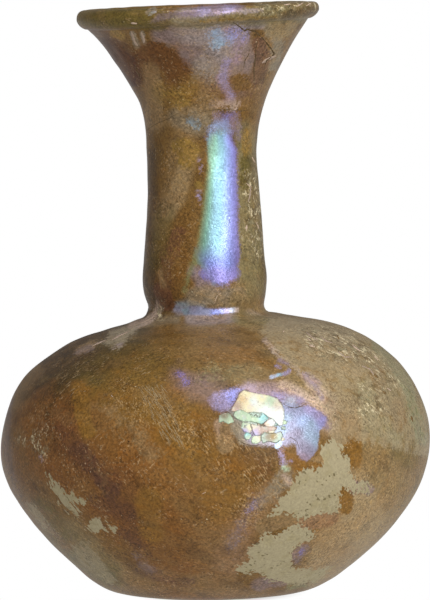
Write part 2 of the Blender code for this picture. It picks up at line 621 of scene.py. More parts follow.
@dataclass(frozen=True)
class Flake:
    """A lifted flake of film: a thin plate with a curled edge.

    lift is in millimetres, rim is how much darker the flake's edge is, and jag is the
    edge's random step in pixels.
    """

    outline: Points
    tones: Anchors
    lift: float = 0.10
    rim: float = 0.55
    jag: float = 0.35


def ribbon(path: Points, width: float, tone: Tone, lift: float) -> Flake:
    """Return a thin flake along a line: as wide as asked in its middle, less at its ends.

    Its half width is width (e + (1 - e) sin(pi t)) / 2 at the share t of the line,
    with e the share left at its ends, times a random factor, so that its edge is
    uneven.

    Args:
        path: the line's corners, in pixels.
        width: the width in pixels.
        tone: its one tone.
        lift: how far it stands off, in millimetres.

    Returns:
        The flake.
    """
    corners = np.array(path, dtype=float)
    length = np.concatenate(([0.0], np.cumsum(np.linalg.norm(np.diff(corners, axis=0), axis=1))))
    share = np.linspace(0.0, 1.0, max(5, round(length[-1] / RIBBON_STEP)))
    middle = np.column_stack([
        np.interp(share * length[-1], length, column) for column in corners.T])
    random = np.random.default_rng(int(middle[0].sum()))
    run = np.gradient(middle, axis=0)
    side = np.column_stack((-run[:, 1], run[:, 0])) / np.linalg.norm(run, axis=1, keepdims=True)
    uneven = random.uniform(*RIBBON_UNEVEN, len(share))
    swell = RIBBON_END + (1 - RIBBON_END) * np.sin(np.pi * share)
    half = side * (width * uneven * swell / 2)[:, None]
    outline = np.vstack((middle + half, (middle - half)[::-1]))
    return Flake(outline.tolist(), ((tone, *path[0]),), lift, 0.0, 0.0)


@dataclass(frozen=True)
class Deposit:
    """One kind of thin line on the flask: its tone, its lift in millimetres, and the lines.

    Each line is its corners in pixels, and its width.
    """

    tone: Tone
    lift: float
    lines: Sequence[tuple[Points, float]]

    def flakes(self) -> list[Flake]:
        """Return the lines as thin ribbons."""
        return [ribbon(path, width, self.tone, self.lift) for path, width in self.lines]


class Veil(Enum):
    """The crisp-edged layers of crust, by their channel in the attribute named veils."""

    PALE = 0
    DARK = 1
    GOLDEN = 2
    FLECKS = 3


# Broad tones of the body, from the ground colour up
BODY_TONES = (
    Mark(Tone.UMBER, ((34, 425), (40, 400), (62, 372), (105, 345), (150, 330)), 20, 40, 0.85),
    Mark(Tone.OLIVE, ((60, 400), (95, 383), (105, 380)), 8, 26, 0.35),
    Mark(Tone.OLIVE, ((96, 390), (122, 396), (142, 402)), 8, 16, 0.58),
    Mark(Tone.UMBER, ((40, 392), (46, 412), (40, 444)), 8, 13, 0.45),
    Mark(Tone.WINE, ((44, 400), (50, 430), (60, 446)), 7, 14, 0.6),
    Mark(Tone.AMBER, ((85, 392), (88, 432)), 6, 13, 0.55),
    # Partly the glass's amber, partly painted glow of light through the glass in the body's middle
    Mark(Tone.AMBER, ((150, 400), (175, 440), (170, 480)), 26, 46, 0.8),
    Mark(Tone.SIENNA, ((60, 440), (110, 470), (170, 520), (200, 560)), 36, 30, 0.85),
    Mark(Tone.TAN, ((210, 500), (225, 560)), 12, 30, 0.45),
    Mark(Tone.OLIVE, ((128, 350), (170, 372), (215, 372)), 12, 36, 0.3),
    Mark(Tone.BROWN, ((170, 338), (215, 345), (262, 350)), 10, 20, 0.7),
    Mark(Tone.MAROON, ((62, 425), (75, 455), (110, 480), (135, 505)), 8, 24, 0.4),
    Mark(Tone.MAROON, ((108, 508), (126, 516), (136, 536)), 5, 12, 0.5),
    Mark(Tone.AMBER, ((148, 498), (152, 532)), 8, 9, 0.75),
    Mark(Tone.AMBER, ((88, 540), (108, 560), (128, 578)), 8, 16, 0.5),
    Mark(Tone.TAN, ((30, 500), (50, 520), (80, 552), (120, 582)), 8, 20, 0.35),
    Mark(Tone.BROWN, ((8, 440), (16, 470), (32, 498), (52, 520)), 10, 12, 0.62),
    Mark(Tone.KHAKI, ((72, 528), (95, 552), (120, 578)), 4, 12, 0.45),
    Mark(Tone.TAN, ((130, 580), (200, 586), (262, 586)), 4, 12, 0.6),
    Mark(Tone.TAN, ((205, 345), (238, 350)), 12, 22, 0.55),
    # Partly film tint, partly painted highlight: the pale glow above and to the right of the shoulder's
    # flakes
    Mark(Tone.HEATHER, ((182, 380), (202, 388), (222, 398)), 3, 18, 0.35),
    Mark(Tone.SAND, ((240, 376), (270, 376), (296, 382), (308, 392)), 5, 12, 0.6),
    Mark(Tone.BLUSH, ((250, 390), (284, 391), (298, 396)), 3, 10, 0.6),
    Mark(Tone.ROSE, ((318, 392), (326, 404), (330, 422)), 5, 16, 0.6),
    Mark(Tone.SAND, ((300, 330), (330, 350), (365, 375), (385, 420), (395, 470), (385, 520)), 26, 26,
         0.75),
    Mark(Tone.TAN, ((396, 370), (412, 430), (408, 460)), 10, 16, 0.6),
    Mark(Tone.OLIVE, ((384, 350), (400, 378), (409, 410), (406, 446)), 12, 18, 0.52),
    Mark(Tone.DUNE, ((330, 484), (356, 520), (335, 565)), 18, 26, 0.75),
    Mark(Tone.FAWN, ((268, 496), (244, 528), (228, 560)), 8, 14, 0.6),
    Mark(Tone.STONE, ((180, 320), (250, 320), (300, 326), (345, 338)), 4, 9, 0.5),
    # Partly the glass's amber, partly painted glow of light through the middle; the rust after it dims
    # that glow
    Mark(Tone.AMBER, ((222, 455), (235, 480), (215, 500)), 12, 26, 0.65),
    Mark(Tone.RUST, ((215, 432), (232, 462)), 14, 20, 0.26),
    Mark(Tone.UMBER, ((62, 378), (72, 396)), 5, 12, 0.32),
    Mark(Tone.TAN, ((13, 402), (22, 384), (34, 370)), 4, 8, 0.55),
    # Partly film tint, partly painted highlight: rose touches beside the shoulder's flakes
    Mark(Tone.ROSE, ((220, 424), (224, 436)), 4, 5, 0.35),
    Mark(Tone.ROSE, ((318, 395), (329, 402)), 4, 8, 0.45),
)

# Smaller patches of crust on the body, with broken edges, and a few marks of painted highlight by the
# shoulder's flakes
BODY_CRUST_AND_HIGHLIGHT = (
    Mark(Tone.TAN, ((112, 412), (128, 428)), 6, 20, 0.4),
    Mark(Tone.AMBER, ((80, 390), (82, 410), (88, 432)), 5, 6, 0.85),
    Mark(Tone.UMBER, ((66, 366), (52, 388), (46, 410)), 5, 14, 0.36),
    Mark(Tone.WINE, ((80, 450), (98, 474), (112, 496)), 3, 9, 0.6),
    Mark(Tone.WINE, ((96, 500), (112, 508), (128, 512)), 5, 7, 0.45),
    Mark(Tone.WINE, ((122, 532), (140, 544), (150, 554)), 2, 7, 0.45),
    Mark(Tone.MAROON, ((62, 428), (78, 455), (112, 482)), 3, 14, 0.45),
    Mark(Tone.TAN, ((140, 442), (154, 454)), 3, 12, 0.6),
    Mark(Tone.PLUM, ((142, 572), (162, 580), (190, 584)), 2, 9, 0.42),
    Mark(Tone.KHAKI, ((76, 556), (90, 566), (108, 578)), 5, 4, 0.75),
    Mark(Tone.KHAKI, ((205, 372), (250, 374)), 2, 14, 0.42),
    Mark(Tone.KHAKI, ((365, 390), (375, 428)), 6, 12, 0.75),
    Mark(Tone.SAGE, ((378, 345), (408, 385), (422, 440)), 3, 7, 0.6),
    Mark(Tone.KHAKI, ((385, 425), (395, 436)), 5, 8, 0.7),
    Mark(Tone.STONE, ((288, 466), (280, 482), (262, 504)), 4, 9, 0.6),
    Mark(Tone.MAUVE, ((258, 500), (244, 524), (232, 546)), 2, 14, 0.5),
    Mark(Tone.PALE_GREEN, ((283, 467), (287, 469)), 1, 2.5, 0.7),
    Mark(Tone.SHELL, ((284, 476), (289, 482)), 1, 3, 0.7),
    Mark(Tone.TAN, ((228, 430), (226, 446)), 6, 5, 0.8),
    Mark(Tone.BROWN, ((244, 576), (256, 580)), 5, 4, 0.85),
    Mark(Tone.MAUVE, ((258, 585), (284, 580)), 4, 5, 0.65),
    Mark(Tone.LEAF, ((290, 587), (306, 585)), 1.5, 4, 0.5),
    # Partly crust, partly painted highlight: sand and rose to the right of the flakes, in the key
    # light's glow
    Mark(Tone.SAND, ((292, 380), (302, 382), (310, 391)), 4, 6, 0.8),
    Mark(Tone.ROSE, ((282, 385), (298, 392), (315, 402), (331, 410)), 2, 6, 0.6),
    Mark(Tone.ROSE, ((312, 384), (321, 394), (328, 406)), 2, 7, 0.6),
    Mark(Tone.BROWN, ((334, 404), (336, 440)), 4, 9, 0.5),
    Mark(Tone.AMBER, ((350, 424), (354, 460)), 6, 8, 0.8),
    Mark(Tone.AMBER, ((345, 490), (346, 508)), 5, 4, 0.9),
    Mark(Tone.TAN, ((263, 526), (278, 521), (293, 516)), 7, 3, 0.85),
    Mark(Tone.FAWN, ((305, 523), (320, 520), (330, 518)), 6, 4, 0.9),
    Mark(Tone.AMBER, ((283, 448), (291, 455), (297, 465), (318, 470)), 5, 5, 0.85),
    Mark(Tone.TAN, ((78, 350), (92, 343)), 1.5, 5, 0.6),
    Mark(Tone.MAUVE, ((78, 352), (90, 349)), 1, 5, 0.5),
    Mark(Tone.STONE, ((108, 341), (122, 338), (132, 332)), 2, 6, 0.55),
    Mark(Tone.HEATHER, ((112, 348), (122, 344)), 1, 3, 0.36),
    Mark(Tone.STONE, ((112, 332), (140, 325)), 1, 6, 0.6),
    Mark(Tone.SHELL, ((265, 340), (281, 357), (297, 369), (307, 379), (316, 393)), 1.0, 4, 0.55),
    Mark(Tone.SHELL, ((132, 326), (146, 321), (154, 316), (158, 309), (161, 302)), 1.5, 4.5, 0.75),
    Mark(Tone.HEATHER, ((41, 457), (42, 461)), 0.8, 3, 0.5),
    # Painted rim light: a grey-mauve line along the body's left edge
    Mark(Tone.MAUVE, ((8, 400), (5, 430), (9, 470), (16, 495)), 2, 5, 0.35),
    Mark(Tone.MAUVE, ((136, 556), (142, 562), (150, 569)), 1.5, 6, 0.42),
    Mark(Tone.MAUVE, ((296, 559), (300, 552), (304, 548)), 3, 6, 0.65),
    Mark(Tone.HEATHER, ((308, 376), (316, 383)), 1.5, 6, 0.55),
    Mark(Tone.MAUVE, ((354, 486), (368, 489)), 3, 5, 0.7),
    Mark(Tone.RUST, ((4, 400), (5, 430), (16, 465), (34, 500)), 6, 8, 0.34),
    Mark(Tone.OLIVE, ((42, 510), (60, 538), (90, 562), (108, 576)), 9, 9, 0.4),
    Mark(Tone.BROWN, ((397, 405), (399, 425)), 5, 5, 0.7),
    Mark(Tone.BROWN, ((376, 372), (380, 384)), 5, 5, 0.65),
    Mark(Tone.BROWN, ((352, 388), (356, 402)), 4, 6, 0.45),
)

# Broad tones of the funnel, the neck and the collar
NECK_TONES = (
    Mark(Tone.BROWN, ((190, 60), (200, 110), (175, 200), (175, 290)), 30, 20, 0.5),
    Mark(Tone.UMBER, ((92, 40), (120, 66), (143, 120), (148, 200), (147, 290)), 5, 13, 0.64),
    Mark(Tone.RUST, ((118, 48), (132, 62), (140, 82)), 8, 7, 0.75),
    Mark(Tone.RUST, ((178, 225), (176, 255), (168, 285)), 9, 14, 0.5),
    Mark(Tone.TAN, ((182, 132), (176, 180), (168, 200), (158, 228)), 4, 12, 0.6),
    Mark(Tone.DUNE, ((188, 162), (179, 194), (170, 212)), 3, 9, 0.5),
    Mark(Tone.OLIVE, ((165, 215), (157, 262)), 4, 12, 0.45),
    Mark(Tone.PLUM, ((98, 33), (112, 40)), 6, 8, 0.7),
    Mark(Tone.EMBER, ((106, 46), (122, 60), (137, 80)), 6, 8, 0.8),
    Mark(Tone.BROWN, ((138, 86), (146, 116), (149, 140)), 4, 7, 0.6),
    Mark(Tone.MAUVE, ((166, 32), (185, 38), (192, 58)), 9, 10, 0.9),
    Mark(Tone.ASH, ((190, 27), (212, 34), (222, 48), (214, 68)), 11, 13, 0.9),
    Mark(Tone.ASH, ((236, 34), (240, 60)), 8, 12, 0.75),
    Mark(Tone.MAUVE, ((248, 56), (238, 84)), 6, 12, 0.6),
    Mark(Tone.TAN, ((282, 28), (270, 60), (258, 100)), 9, 8, 0.6),
    # Painted light: a pale band right under the collar, that lifts the collar's shadow
    Mark(Tone.ASH, ((176, 26), (216, 25), (262, 24)), 2.5, 4, 0.85),
    Mark(Tone.TAN, ((150, 68), (153, 95), (156, 122)), 8, 5, 0.45),
    Mark(Tone.AMBER, ((178, 98), (205, 98)), 10, 14, 0.4),
    Mark(Tone.STONE, ((200, 72), (216, 78), (206, 110)), 6, 12, 0.4),
    Mark(Tone.STONE, ((180, 118), (200, 124)), 7, 9, 0.65),
    Mark(Tone.KHAKI, ((248, 134), (247, 200), (248, 290)), 9, 9, 0.85),
    Mark(Tone.BROWN, ((257, 98), (256, 128)), 4, 8, 0.6),
    Mark(Tone.OLIVE, ((262, 130), (264, 230), (267, 290)), 3, 6, 0.5),
    Mark(Tone.SLATE, ((196, 272), (202, 282), (212, 290)), 4, 9, 0.55),
    Mark(Tone.STONE, ((200, 294), (222, 294)), 3, 8, 0.45),
    Mark(Tone.TAN, ((222, 292), (236, 286)), 4, 8, 0.55),
    # Painted highlight: the teal glow at the left end of the crease at the neck's foot
    Mark(Tone.TEAL, ((180, 308), (190, 304), (202, 304)), 2.5, 6, 0.8),
    Mark(Tone.SLATE, ((178, 310), (192, 311), (210, 312)), 1.5, 5, 0.8),
    Mark(Tone.UMBER, ((164, 288), (163, 303)), 4, 5, 0.85),
    Mark(Tone.STONE, ((194, 297), (236, 298)), 6, 8, 0.85),
    Mark(Tone.SAND, ((238, 302), (250, 308), (254, 314), (250, 320)), 6, 7, 0.85),
    Mark(Tone.SHELL, ((250, 315), (258, 317)), 2.5, 5, 0.6),
    Mark(Tone.STONE, ((148, 322), (176, 319)), 2, 5, 0.6),
    Mark(Tone.ASH, ((190, 319), (210, 319), (232, 317)), 3, 5, 0.85),
    Mark(Tone.KHAKI, ((240, 318), (262, 322)), 4, 6, 0.75),
    Mark(Tone.OLIVE, ((80, 15), (110, 18), (160, 19)), 8, 6, 0.8),
    Mark(Tone.KHAKI, ((180, 20), (215, 17), (300, 14)), 7, 5, 0.7),
    Mark(Tone.KHAKI, ((262, 8), (316, 6)), 6, 6, 0.6),
    Mark(Tone.UMBER, ((284, 15), (300, 12), (316, 10)), 2.5, 4, 0.7),
)

# Smaller patches of crust on the funnel, the neck and the collar, and one line of painted highlight on
# the collar
NECK_CRUST_AND_HIGHLIGHT = (
    Mark(Tone.RUST, ((144, 52), (158, 54), (172, 62), (180, 76)), 7, 8, 0.75),
    Mark(Tone.EMBER, ((120, 56), (130, 62), (136, 80)), 5, 4, 0.95),
    Mark(Tone.BROWN, ((146, 88), (148, 104), (149, 124)), 4, 7, 0.45),
    Mark(Tone.TAN, ((152, 70), (154, 92), (154, 122)), 7, 3, 0.8),
    Mark(Tone.PLUM, ((208, 84), (232, 92), (252, 88)), 6, 12, 0.42),
    Mark(Tone.GOLD, ((114, 34), (122, 36)), 3, 4, 0.75),
    Mark(Tone.STONE, ((132, 34), (137, 45)), 2, 3, 0.8),
    Mark(Tone.STONE, ((142, 33), (144, 42)), 1, 3, 0.7),
    Mark(Tone.TEAL, ((218, 34), (220, 42)), 3, 8, 0.6),
    Mark(Tone.HEATHER, ((226, 32), (240, 38), (236, 56)), 3, 10, 0.55),
    Mark(Tone.HEATHER, ((228, 62), (224, 78), (230, 96)), 2, 8, 0.55),
    Mark(Tone.SHELL, ((214, 104), (226, 106), (236, 105)), 2, 7, 0.5),
    Mark(Tone.GOLD, ((160, 92), (180, 100), (190, 88)), 3, 12, 0.45),
    Mark(Tone.BROWN, ((234, 84), (246, 82)), 6, 5, 0.7),
    Mark(Tone.STONE, ((270, 32), (279, 44), (274, 66)), 4, 5, 0.6),
    Mark(Tone.PLUM, ((259, 44), (263, 58), (257, 78)), 6, 3, 0.9),
    Mark(Tone.FOG, ((218, 36), (215, 44)), 4, 7, 0.45),
    Mark(Tone.SAND, ((276, 32), (290, 28)), 4, 8, 0.65),
    Mark(Tone.TEAL, ((190, 121), (196, 126)), 1, 7, 0.5),
    Mark(Tone.GOLD, ((180, 146), (192, 152), (188, 160)), 4, 9, 0.75),
    Mark(Tone.GOLD, ((198, 185), (200, 188)), 1.5, 3, 0.8),
    Mark(Tone.OLIVE, ((245, 162), (246, 184)), 3, 8, 0.6),
    Mark(Tone.GOLD, ((245, 132), (246, 150)), 3, 6, 0.55),
    Mark(Tone.TAN, ((180, 190), (164, 212)), 1.0, 8, 0.55),
    Mark(Tone.MAROON, ((178, 232), (168, 262), (164, 292)), 3, 9, 0.55),
    Mark(Tone.MAROON, ((160, 288), (168, 304)), 4, 5, 0.8),
    Mark(Tone.TAN, ((160, 272), (163, 284)), 1.5, 4, 0.75),
    Mark(Tone.MIST, ((200, 160), (202, 170)), 0.5, 5, 0.36),
    Mark(Tone.MIST, ((199, 194), (201, 204)), 0.5, 5, 0.36),
    # Painted highlight: a thin golden line along the collar's lower edge
    Mark(Tone.GOLD, ((200, 21), (240, 19), (276, 17)), 0.6, 3, 0.45),
    Mark(Tone.STONE, ((148, 13), (155, 8)), 1.5, 2.5, 0.8),
    Mark(Tone.ASH, ((238, 12), (262, 10)), 1.0, 4, 0.6),
)

# Areas of iridescent film, where the light comes back in colour, and painted highlights: the streak
# down the neck, the collar's band, the line at the neck's foot and the glow about the shoulder's flakes
FILM_AND_HIGHLIGHTS = (
    # Painted highlight down the neck: where the key light reflects, in the tones of iridescent film,
    # from its top to its tail
    Sheen(((212, 112), (238, 111), (243, 128), (240, 142), (230, 134), (214, 124)),
          ((Tone.HEATHER, 218, 116), (Tone.GRAPE, 226, 114), (Tone.HEATHER, 238, 122)), 8, 0.46),
    Sheen(((206, 138), (205, 127), (212, 121), (226, 121), (230, 132), (226, 146), (212, 146)),
          ((Tone.POOL, 212, 130), (Tone.GLACIER, 220, 134), (Tone.POOL, 226, 126),
           (Tone.GRAPE, 207, 138)), 10, 0.52),
    Streak(((213, 136), (210, 150), (206, 180), (203, 210), (198, 240), (196, 262)),
           ((230, 136), (236, 150), (237, 200), (238, 244), (237, 262)),
           (Tone.LEAF, Tone.JADE, Tone.GLACIER, Tone.GLACIER, Tone.BLUE, Tone.IRIS, Tone.THISTLE),
           9, 1.0, 1.6),
    Mark(Tone.JADE, ((213, 142), (214, 160)), 3, 7, 0.6),
    Streak(((197, 254), (201, 264), (206, 273), (214, 281)),
           ((238, 254), (237, 264), (235, 273), (228, 281)),
           (Tone.TEAL, Tone.DUSK, Tone.DUSK, Tone.DUSK, Tone.DUSK, Tone.GRAPE), 9, 1.0, 3.0),
    Mark(Tone.GRAPE, ((206, 274), (220, 277), (232, 275)), 3, 8, 0.7),
    Mark(Tone.LEAF, ((196, 252), (190, 272), (184, 292)), 1.2, 6, 0.48),
    # Painted highlight: the lilac band where the collar's roll reflects the lights
    Sheen(((148, 24), (158, 13), (190, 8), (215, 4), (240, 4), (246, 8), (236, 13), (215, 16),
           (190, 18), (165, 21)),
          ((Tone.MAUVE, 150, 22), (Tone.MAUVE, 168, 17), (Tone.HEATHER, 190, 12), (Tone.MIST, 205, 9),
           (Tone.HEATHER, 215, 8), (Tone.LILAC, 230, 8), (Tone.HEATHER, 240, 10)), 7, 0.58),
    # Painted highlight: the thin line of colour along the crease at the neck's foot, white at its right
    # end
    Sheen(((180, 311), (190, 306), (200, 306.5), (212, 309.5), (224, 308.5), (237, 307.3), (240, 309.2),
           (238, 311.8), (224, 314), (212, 315.4), (196, 315.5), (184, 314)),
          ((Tone.TEAL, 184, 310), (Tone.SLATE, 194, 308), (Tone.PERIWINKLE, 198, 312),
           (Tone.PERIWINKLE, 207, 313), (Tone.DUSK, 214, 312.5), (Tone.INDIGO, 221, 311.5),
           (Tone.LILAC, 227, 311), (Tone.FROST, 232, 310), (Tone.ROSE, 237.5, 310)), 3.2, 0.9),
    # Partly iridescent film, partly painted highlight: the key light's glow about the shoulder's
    # flakes, in violet, blush and pearl
    Sheen(((207, 399), (214, 393), (226, 390), (236, 387), (244, 388), (239, 396), (234, 405),
           (229, 411), (222, 412), (214, 409), (208, 404)),
          ((Tone.HEATHER, 209, 401), (Tone.MIST, 218, 402), (Tone.IRIS, 234, 398),
           (Tone.MIST, 226, 408)), 9, 0.6),
    Sheen(((242, 386), (248, 382), (257, 384), (258, 389), (270, 390), (286, 391), (300, 396),
           (312, 404), (322, 412), (318, 408), (304, 405), (290, 406), (280, 402), (268, 397),
           (256, 394), (244, 391)),
          ((Tone.BLUSH, 248, 386), (Tone.BLUSH, 264, 391), (Tone.LILAC, 280, 395),
           (Tone.FROST, 292, 402), (Tone.LILAC, 300, 402), (Tone.BLUSH, 290, 391),
           (Tone.BLUSH, 310, 403)), 9, 0.56),
    Sheen(((230, 410), (262, 408), (282, 404), (298, 404), (303, 412), (298, 428), (296, 442),
           (288, 446), (262, 447), (240, 444), (232, 432)),
          ((Tone.PERIWINKLE, 289, 409), (Tone.FOG, 287, 418), (Tone.PERIWINKLE, 292, 424),
           (Tone.SLATE, 291, 437), (Tone.STONE, 236, 430), (Tone.MINT, 254, 416), (Tone.SAND, 268, 430),
           (Tone.SLATE, 252, 436), (Tone.FOG, 281, 430), (Tone.SLATE, 278, 445),
           (Tone.STONE, 240, 442)), 8, 0.8),
    Sheen(((296, 409), (306, 405.5), (314, 407.5), (321.5, 413), (326, 417.5), (325, 425), (319.5, 430),
           (318.5, 439), (317.5, 448), (313, 455.5), (307.5, 461), (301.5, 459), (297.5, 454),
           (296, 445), (291, 437.5), (292, 430), (296, 423), (294, 415)),
          ((Tone.PERIWINKLE, 299, 411), (Tone.LILAC, 309, 408), (Tone.LILAC, 318, 414),
           (Tone.IRIS, 323, 420), (Tone.HAZE, 304, 420), (Tone.FOG, 311, 424), (Tone.FOG, 309, 434),
           (Tone.SLATE, 298, 434), (Tone.SLATE, 301, 446), (Tone.SLATE, 308, 450),
           (Tone.HEATHER, 304, 457), (Tone.FOG, 317, 440)), 3, 1.0),
    Mark(Tone.VIOLET, ((180, 374), (186, 382)), 0.5, 8, 0.36),
    Mark(Tone.HEATHER, ((322, 418), (326, 426)), 1.5, 8, 0.46),
    Mark(Tone.HEATHER, ((279, 360), (288, 364)), 0.5, 3, 0.5),
    Mark(Tone.BLUSH, ((304, 374), (308, 379), (315, 386), (322, 398)), 0.6, 3.5, 0.44),
    Mark(Tone.FROST, ((271, 377), (275, 376)), 1.0, 2.5, 0.8),
    Mark(Tone.ICE, ((278, 375), (281, 374)), 0.8, 2.2, 0.75),
    Mark(Tone.LILAC, ((284, 374), (289, 371)), 1.0, 3, 0.55),
    Mark(Tone.LILAC, ((276, 366), (280, 368)), 0.8, 3, 0.5),
    Mark(Tone.ICE, ((277, 447), (280, 442)), 1.0, 2.5, 0.7),
    Mark(Tone.MIST, ((281, 452), (283, 464)), 1.5, 5.0, 0.5),
    Mark(Tone.MIST, ((291, 461),), 1.0, 3.5, 0.55),
    Mark(Tone.GRAPE, ((300, 554), (303, 550)), 0.6, 3, 0.55),
    Mark(Tone.MIST, ((248, 512), (256, 505)), 1.0, 8, 0.34),
    Mark(Tone.MIST, ((229, 58), (224, 70), (224, 82), (232, 95)), 1.0, 7, 0.4),
    Mark(Tone.HAZE, ((216, 34), (228, 40)), 2.0, 12, 0.34),
    Mark(Tone.IRIS, ((232, 30), (242, 36)), 2.0, 10, 0.3),
)

# Lifted flakes of film: one on the collar's left end, the others on the lit shoulder
FLAKES = (
    Flake(((147.5, 16), (149.5, 12.5), (152.5, 10.8), (156.5, 10.6), (156, 12.8), (153, 14.2),
           (151, 16.2)), ((Tone.KHAKI, 149, 15), (Tone.ASH, 155, 11)), 0.04, 0.1),
    Flake(((218.5, 423), (219, 416), (223, 413.5), (228.5, 412.5), (232.5, 417.5), (234, 422),
           (228, 424), (223, 421.5)),
          ((Tone.PALE_GREEN, 221, 421), (Tone.STONE, 224, 416), (Tone.PALE_GREEN, 231, 420)), 0.07),
    Flake(((242, 422.5), (250, 423), (252, 430), (250, 434), (244, 432), (241, 428)),
          ((Tone.PALE_GREEN, 244, 425), (Tone.YELLOW, 250, 427), (Tone.LILAC, 245, 431)), 0.06),
    Flake(((250.5, 424), (256, 424.5), (263, 426.5), (272, 425.5), (277, 427.5), (276, 430.5),
           (268.5, 431.5), (261.5, 434), (258, 436), (254, 435), (252, 430)),
          ((Tone.SHELL, 270, 428), (Tone.SHELL, 262, 431), (Tone.CREAM, 253, 426),
           (Tone.LILAC, 255, 433)), 0.07),
    Flake(((243.5, 436), (245.5, 432.5), (249, 432.5), (251.5, 436), (249.5, 439.5), (245.5, 439.5)),
          ((Tone.CYAN, 247, 434), (Tone.PALE_GREEN, 248, 438)), 0.06),
    Flake(((251, 440), (252, 437), (257, 434.5), (261, 436), (261, 441), (257, 444), (252, 443.5)),
          ((Tone.PALE_GREEN, 255, 440), (Tone.CREAM, 258, 437)), 0.06),
    Flake(((261, 435), (264, 432.5), (276, 433), (280.5, 431), (283, 435), (281.5, 440), (276, 443.5),
           (268.5, 441.5), (263, 443.5), (261, 439.5)),
          ((Tone.MINT, 263, 434), (Tone.STONE, 268, 437), (Tone.GOLD, 273, 437), (Tone.MINT, 281, 434),
           (Tone.MINT, 276, 442), (Tone.MINT, 264, 442)), 0.07),
    Flake(((244, 390), (249.5, 392.5), (259.5, 394), (268.5, 395.5), (277, 398.5), (281.5, 404.5),
           (284, 409.5), (284.5, 417.5), (282.5, 425), (279.5, 426.5), (276, 423), (272, 419.5),
           (267.5, 417), (263, 413), (256, 412), (247, 413), (241, 410), (236, 412), (231, 411.5),
           (232.5, 407), (236, 401), (239.5, 394)),
          ((Tone.SHELL, 236, 406), (Tone.PEACH, 243, 400), (Tone.YELLOW, 247, 393),
           (Tone.YELLOW, 248, 406), (Tone.PEARL, 254, 402), (Tone.YELLOW, 261, 398),
           (Tone.PALE_GREEN, 270, 402), (Tone.CREAM, 277, 405), (Tone.PEARL, 266, 410),
           (Tone.PEARL, 279, 416), (Tone.PEARL, 280, 424), (Tone.ROSE, 233, 410)), 0.12),
    Flake(((233, 415.5), (235, 411.5), (241, 409.5), (245, 412), (249, 413.5), (254, 416.5),
           (259.5, 417.5), (261.5, 413), (264, 413.5), (268.5, 418.5), (265, 422), (261.5, 424.5),
           (256, 423), (250.5, 421.5), (243, 421.5), (237, 419.5)),
          ((Tone.PALE_GREEN, 242, 416), (Tone.PALE_GREEN, 254, 420), (Tone.CYAN, 264, 418),
           (Tone.PALE_GREEN, 236, 415)), 0.14),
    Flake(((263, 424), (266, 421.5), (269, 419.5), (273, 419), (276, 423), (273.5, 426), (268.5, 427),
           (265, 426)), ((Tone.PEARL, 271, 422), (Tone.ROSE, 266, 425)), 0.13),
)

# Outlines of the places where the crust has flaked off, down to a flat khaki layer
BARE_PATCHES = (
    ((299, 471), (306, 470), (312, 467), (316, 470), (323, 465), (319, 457), (320, 448), (327, 443),
     (334, 438), (341, 444), (346, 447), (341, 453), (347, 457), (351, 467), (351, 475), (354, 483),
     (370, 484), (367, 492), (352, 492), (346, 488), (341, 487), (340, 498), (340, 507), (335, 513),
     (325, 514), (311, 517), (300, 520), (292, 515), (284, 512), (276, 516), (267, 516), (277, 506),
     (279, 499), (288, 494), (292, 486), (297, 479)),
    ((290, 527), (300, 524), (304, 527), (314, 531), (314, 538), (306, 542), (295, 547), (291, 554),
     (291, 563), (295, 569), (314, 569), (332, 567), (325, 574), (314, 583), (295, 585), (280, 582),
     (264, 577), (255, 571), (243, 574), (236, 570), (241, 566), (249, 559), (247, 551), (251, 546),
     (259, 542), (264, 535), (279, 534)),
    ((46, 472), (51, 476), (57, 484), (63, 490), (69, 497), (71, 504), (79, 510), (80, 513), (78, 519),
     (71, 512), (65, 507), (59, 502), (57, 497), (51, 489), (48, 481)),
    ((71, 493), (78, 497), (85, 501), (84, 504), (77, 505), (71, 500)),
    ((86, 524), (92, 520), (98, 518), (104, 522), (107, 528), (106, 531), (98, 530), (92, 531),
     (88, 529)),
    ((102, 516), (108, 522), (117, 528), (115, 531), (110, 529), (106, 524)),
)

# Cracks and curled edges in the film: thin dark lines, each with its width in pixels
CRACKS = Deposit(Tone.UMBER, 0.03, (
    (((233, 22), (236, 24), (240, 27), (245, 31), (247, 29), (251, 30.5), (255, 31), (259, 35),
      (264, 39)), 1.8),
    (((262, 38), (266, 42), (269, 46), (272, 50), (274.5, 54), (271, 57), (266, 61), (264, 68)), 1.7),
    (((258, 41), (256, 48), (255.5, 58), (254, 68), (254, 82)), 1.2),
    (((250, 49), (248.5, 55), (245, 60), (243.5, 68)), 0.9),
    (((146, 131), (154, 125), (163, 121), (170, 118), (178, 113)), 0.6),
    (((196, 114), (206, 111), (222, 109), (240, 111), (250, 110)), 0.7),
    (((283, 404), (289, 407), (295, 408), (302, 406), (306, 403)), 0.8),
    (((246, 410), (249, 413), (247, 416), (251, 414), (253, 418), (256, 414), (258, 419), (261, 415),
      (262, 420), (265, 418)), 0.8),
    (((226, 413), (231, 419), (234, 414)), 0.6),
    (((238, 440), (243, 443), (252, 446), (262, 444)), 0.7),
    (((136, 64), (137, 72), (142, 80)), 0.8),
    (((232, 367), (238, 368.5), (244, 367), (245, 364)), 0.6),
    (((287, 440), (291, 437), (297, 442), (300, 450)), 0.6),
))

# Small dark stains on the crust, each with its width in pixels
STAINS = Deposit(Tone.BROWN, 0.01, (
    (((374, 374), (378, 378)), 3.0),
    (((383, 391), (386, 394)), 2.0),
    (((411, 416), (413, 422)), 2.2),
    (((337, 335), (339, 339)), 1.8),
    (((104, 436), (107, 438)), 1.6),
    (((117, 419), (121, 422)), 1.4),
    (((119, 436), (124, 440)), 2.0),
    (((136, 448), (142, 454)), 1.4),
    (((221, 366), (223, 368)), 2.4),
))

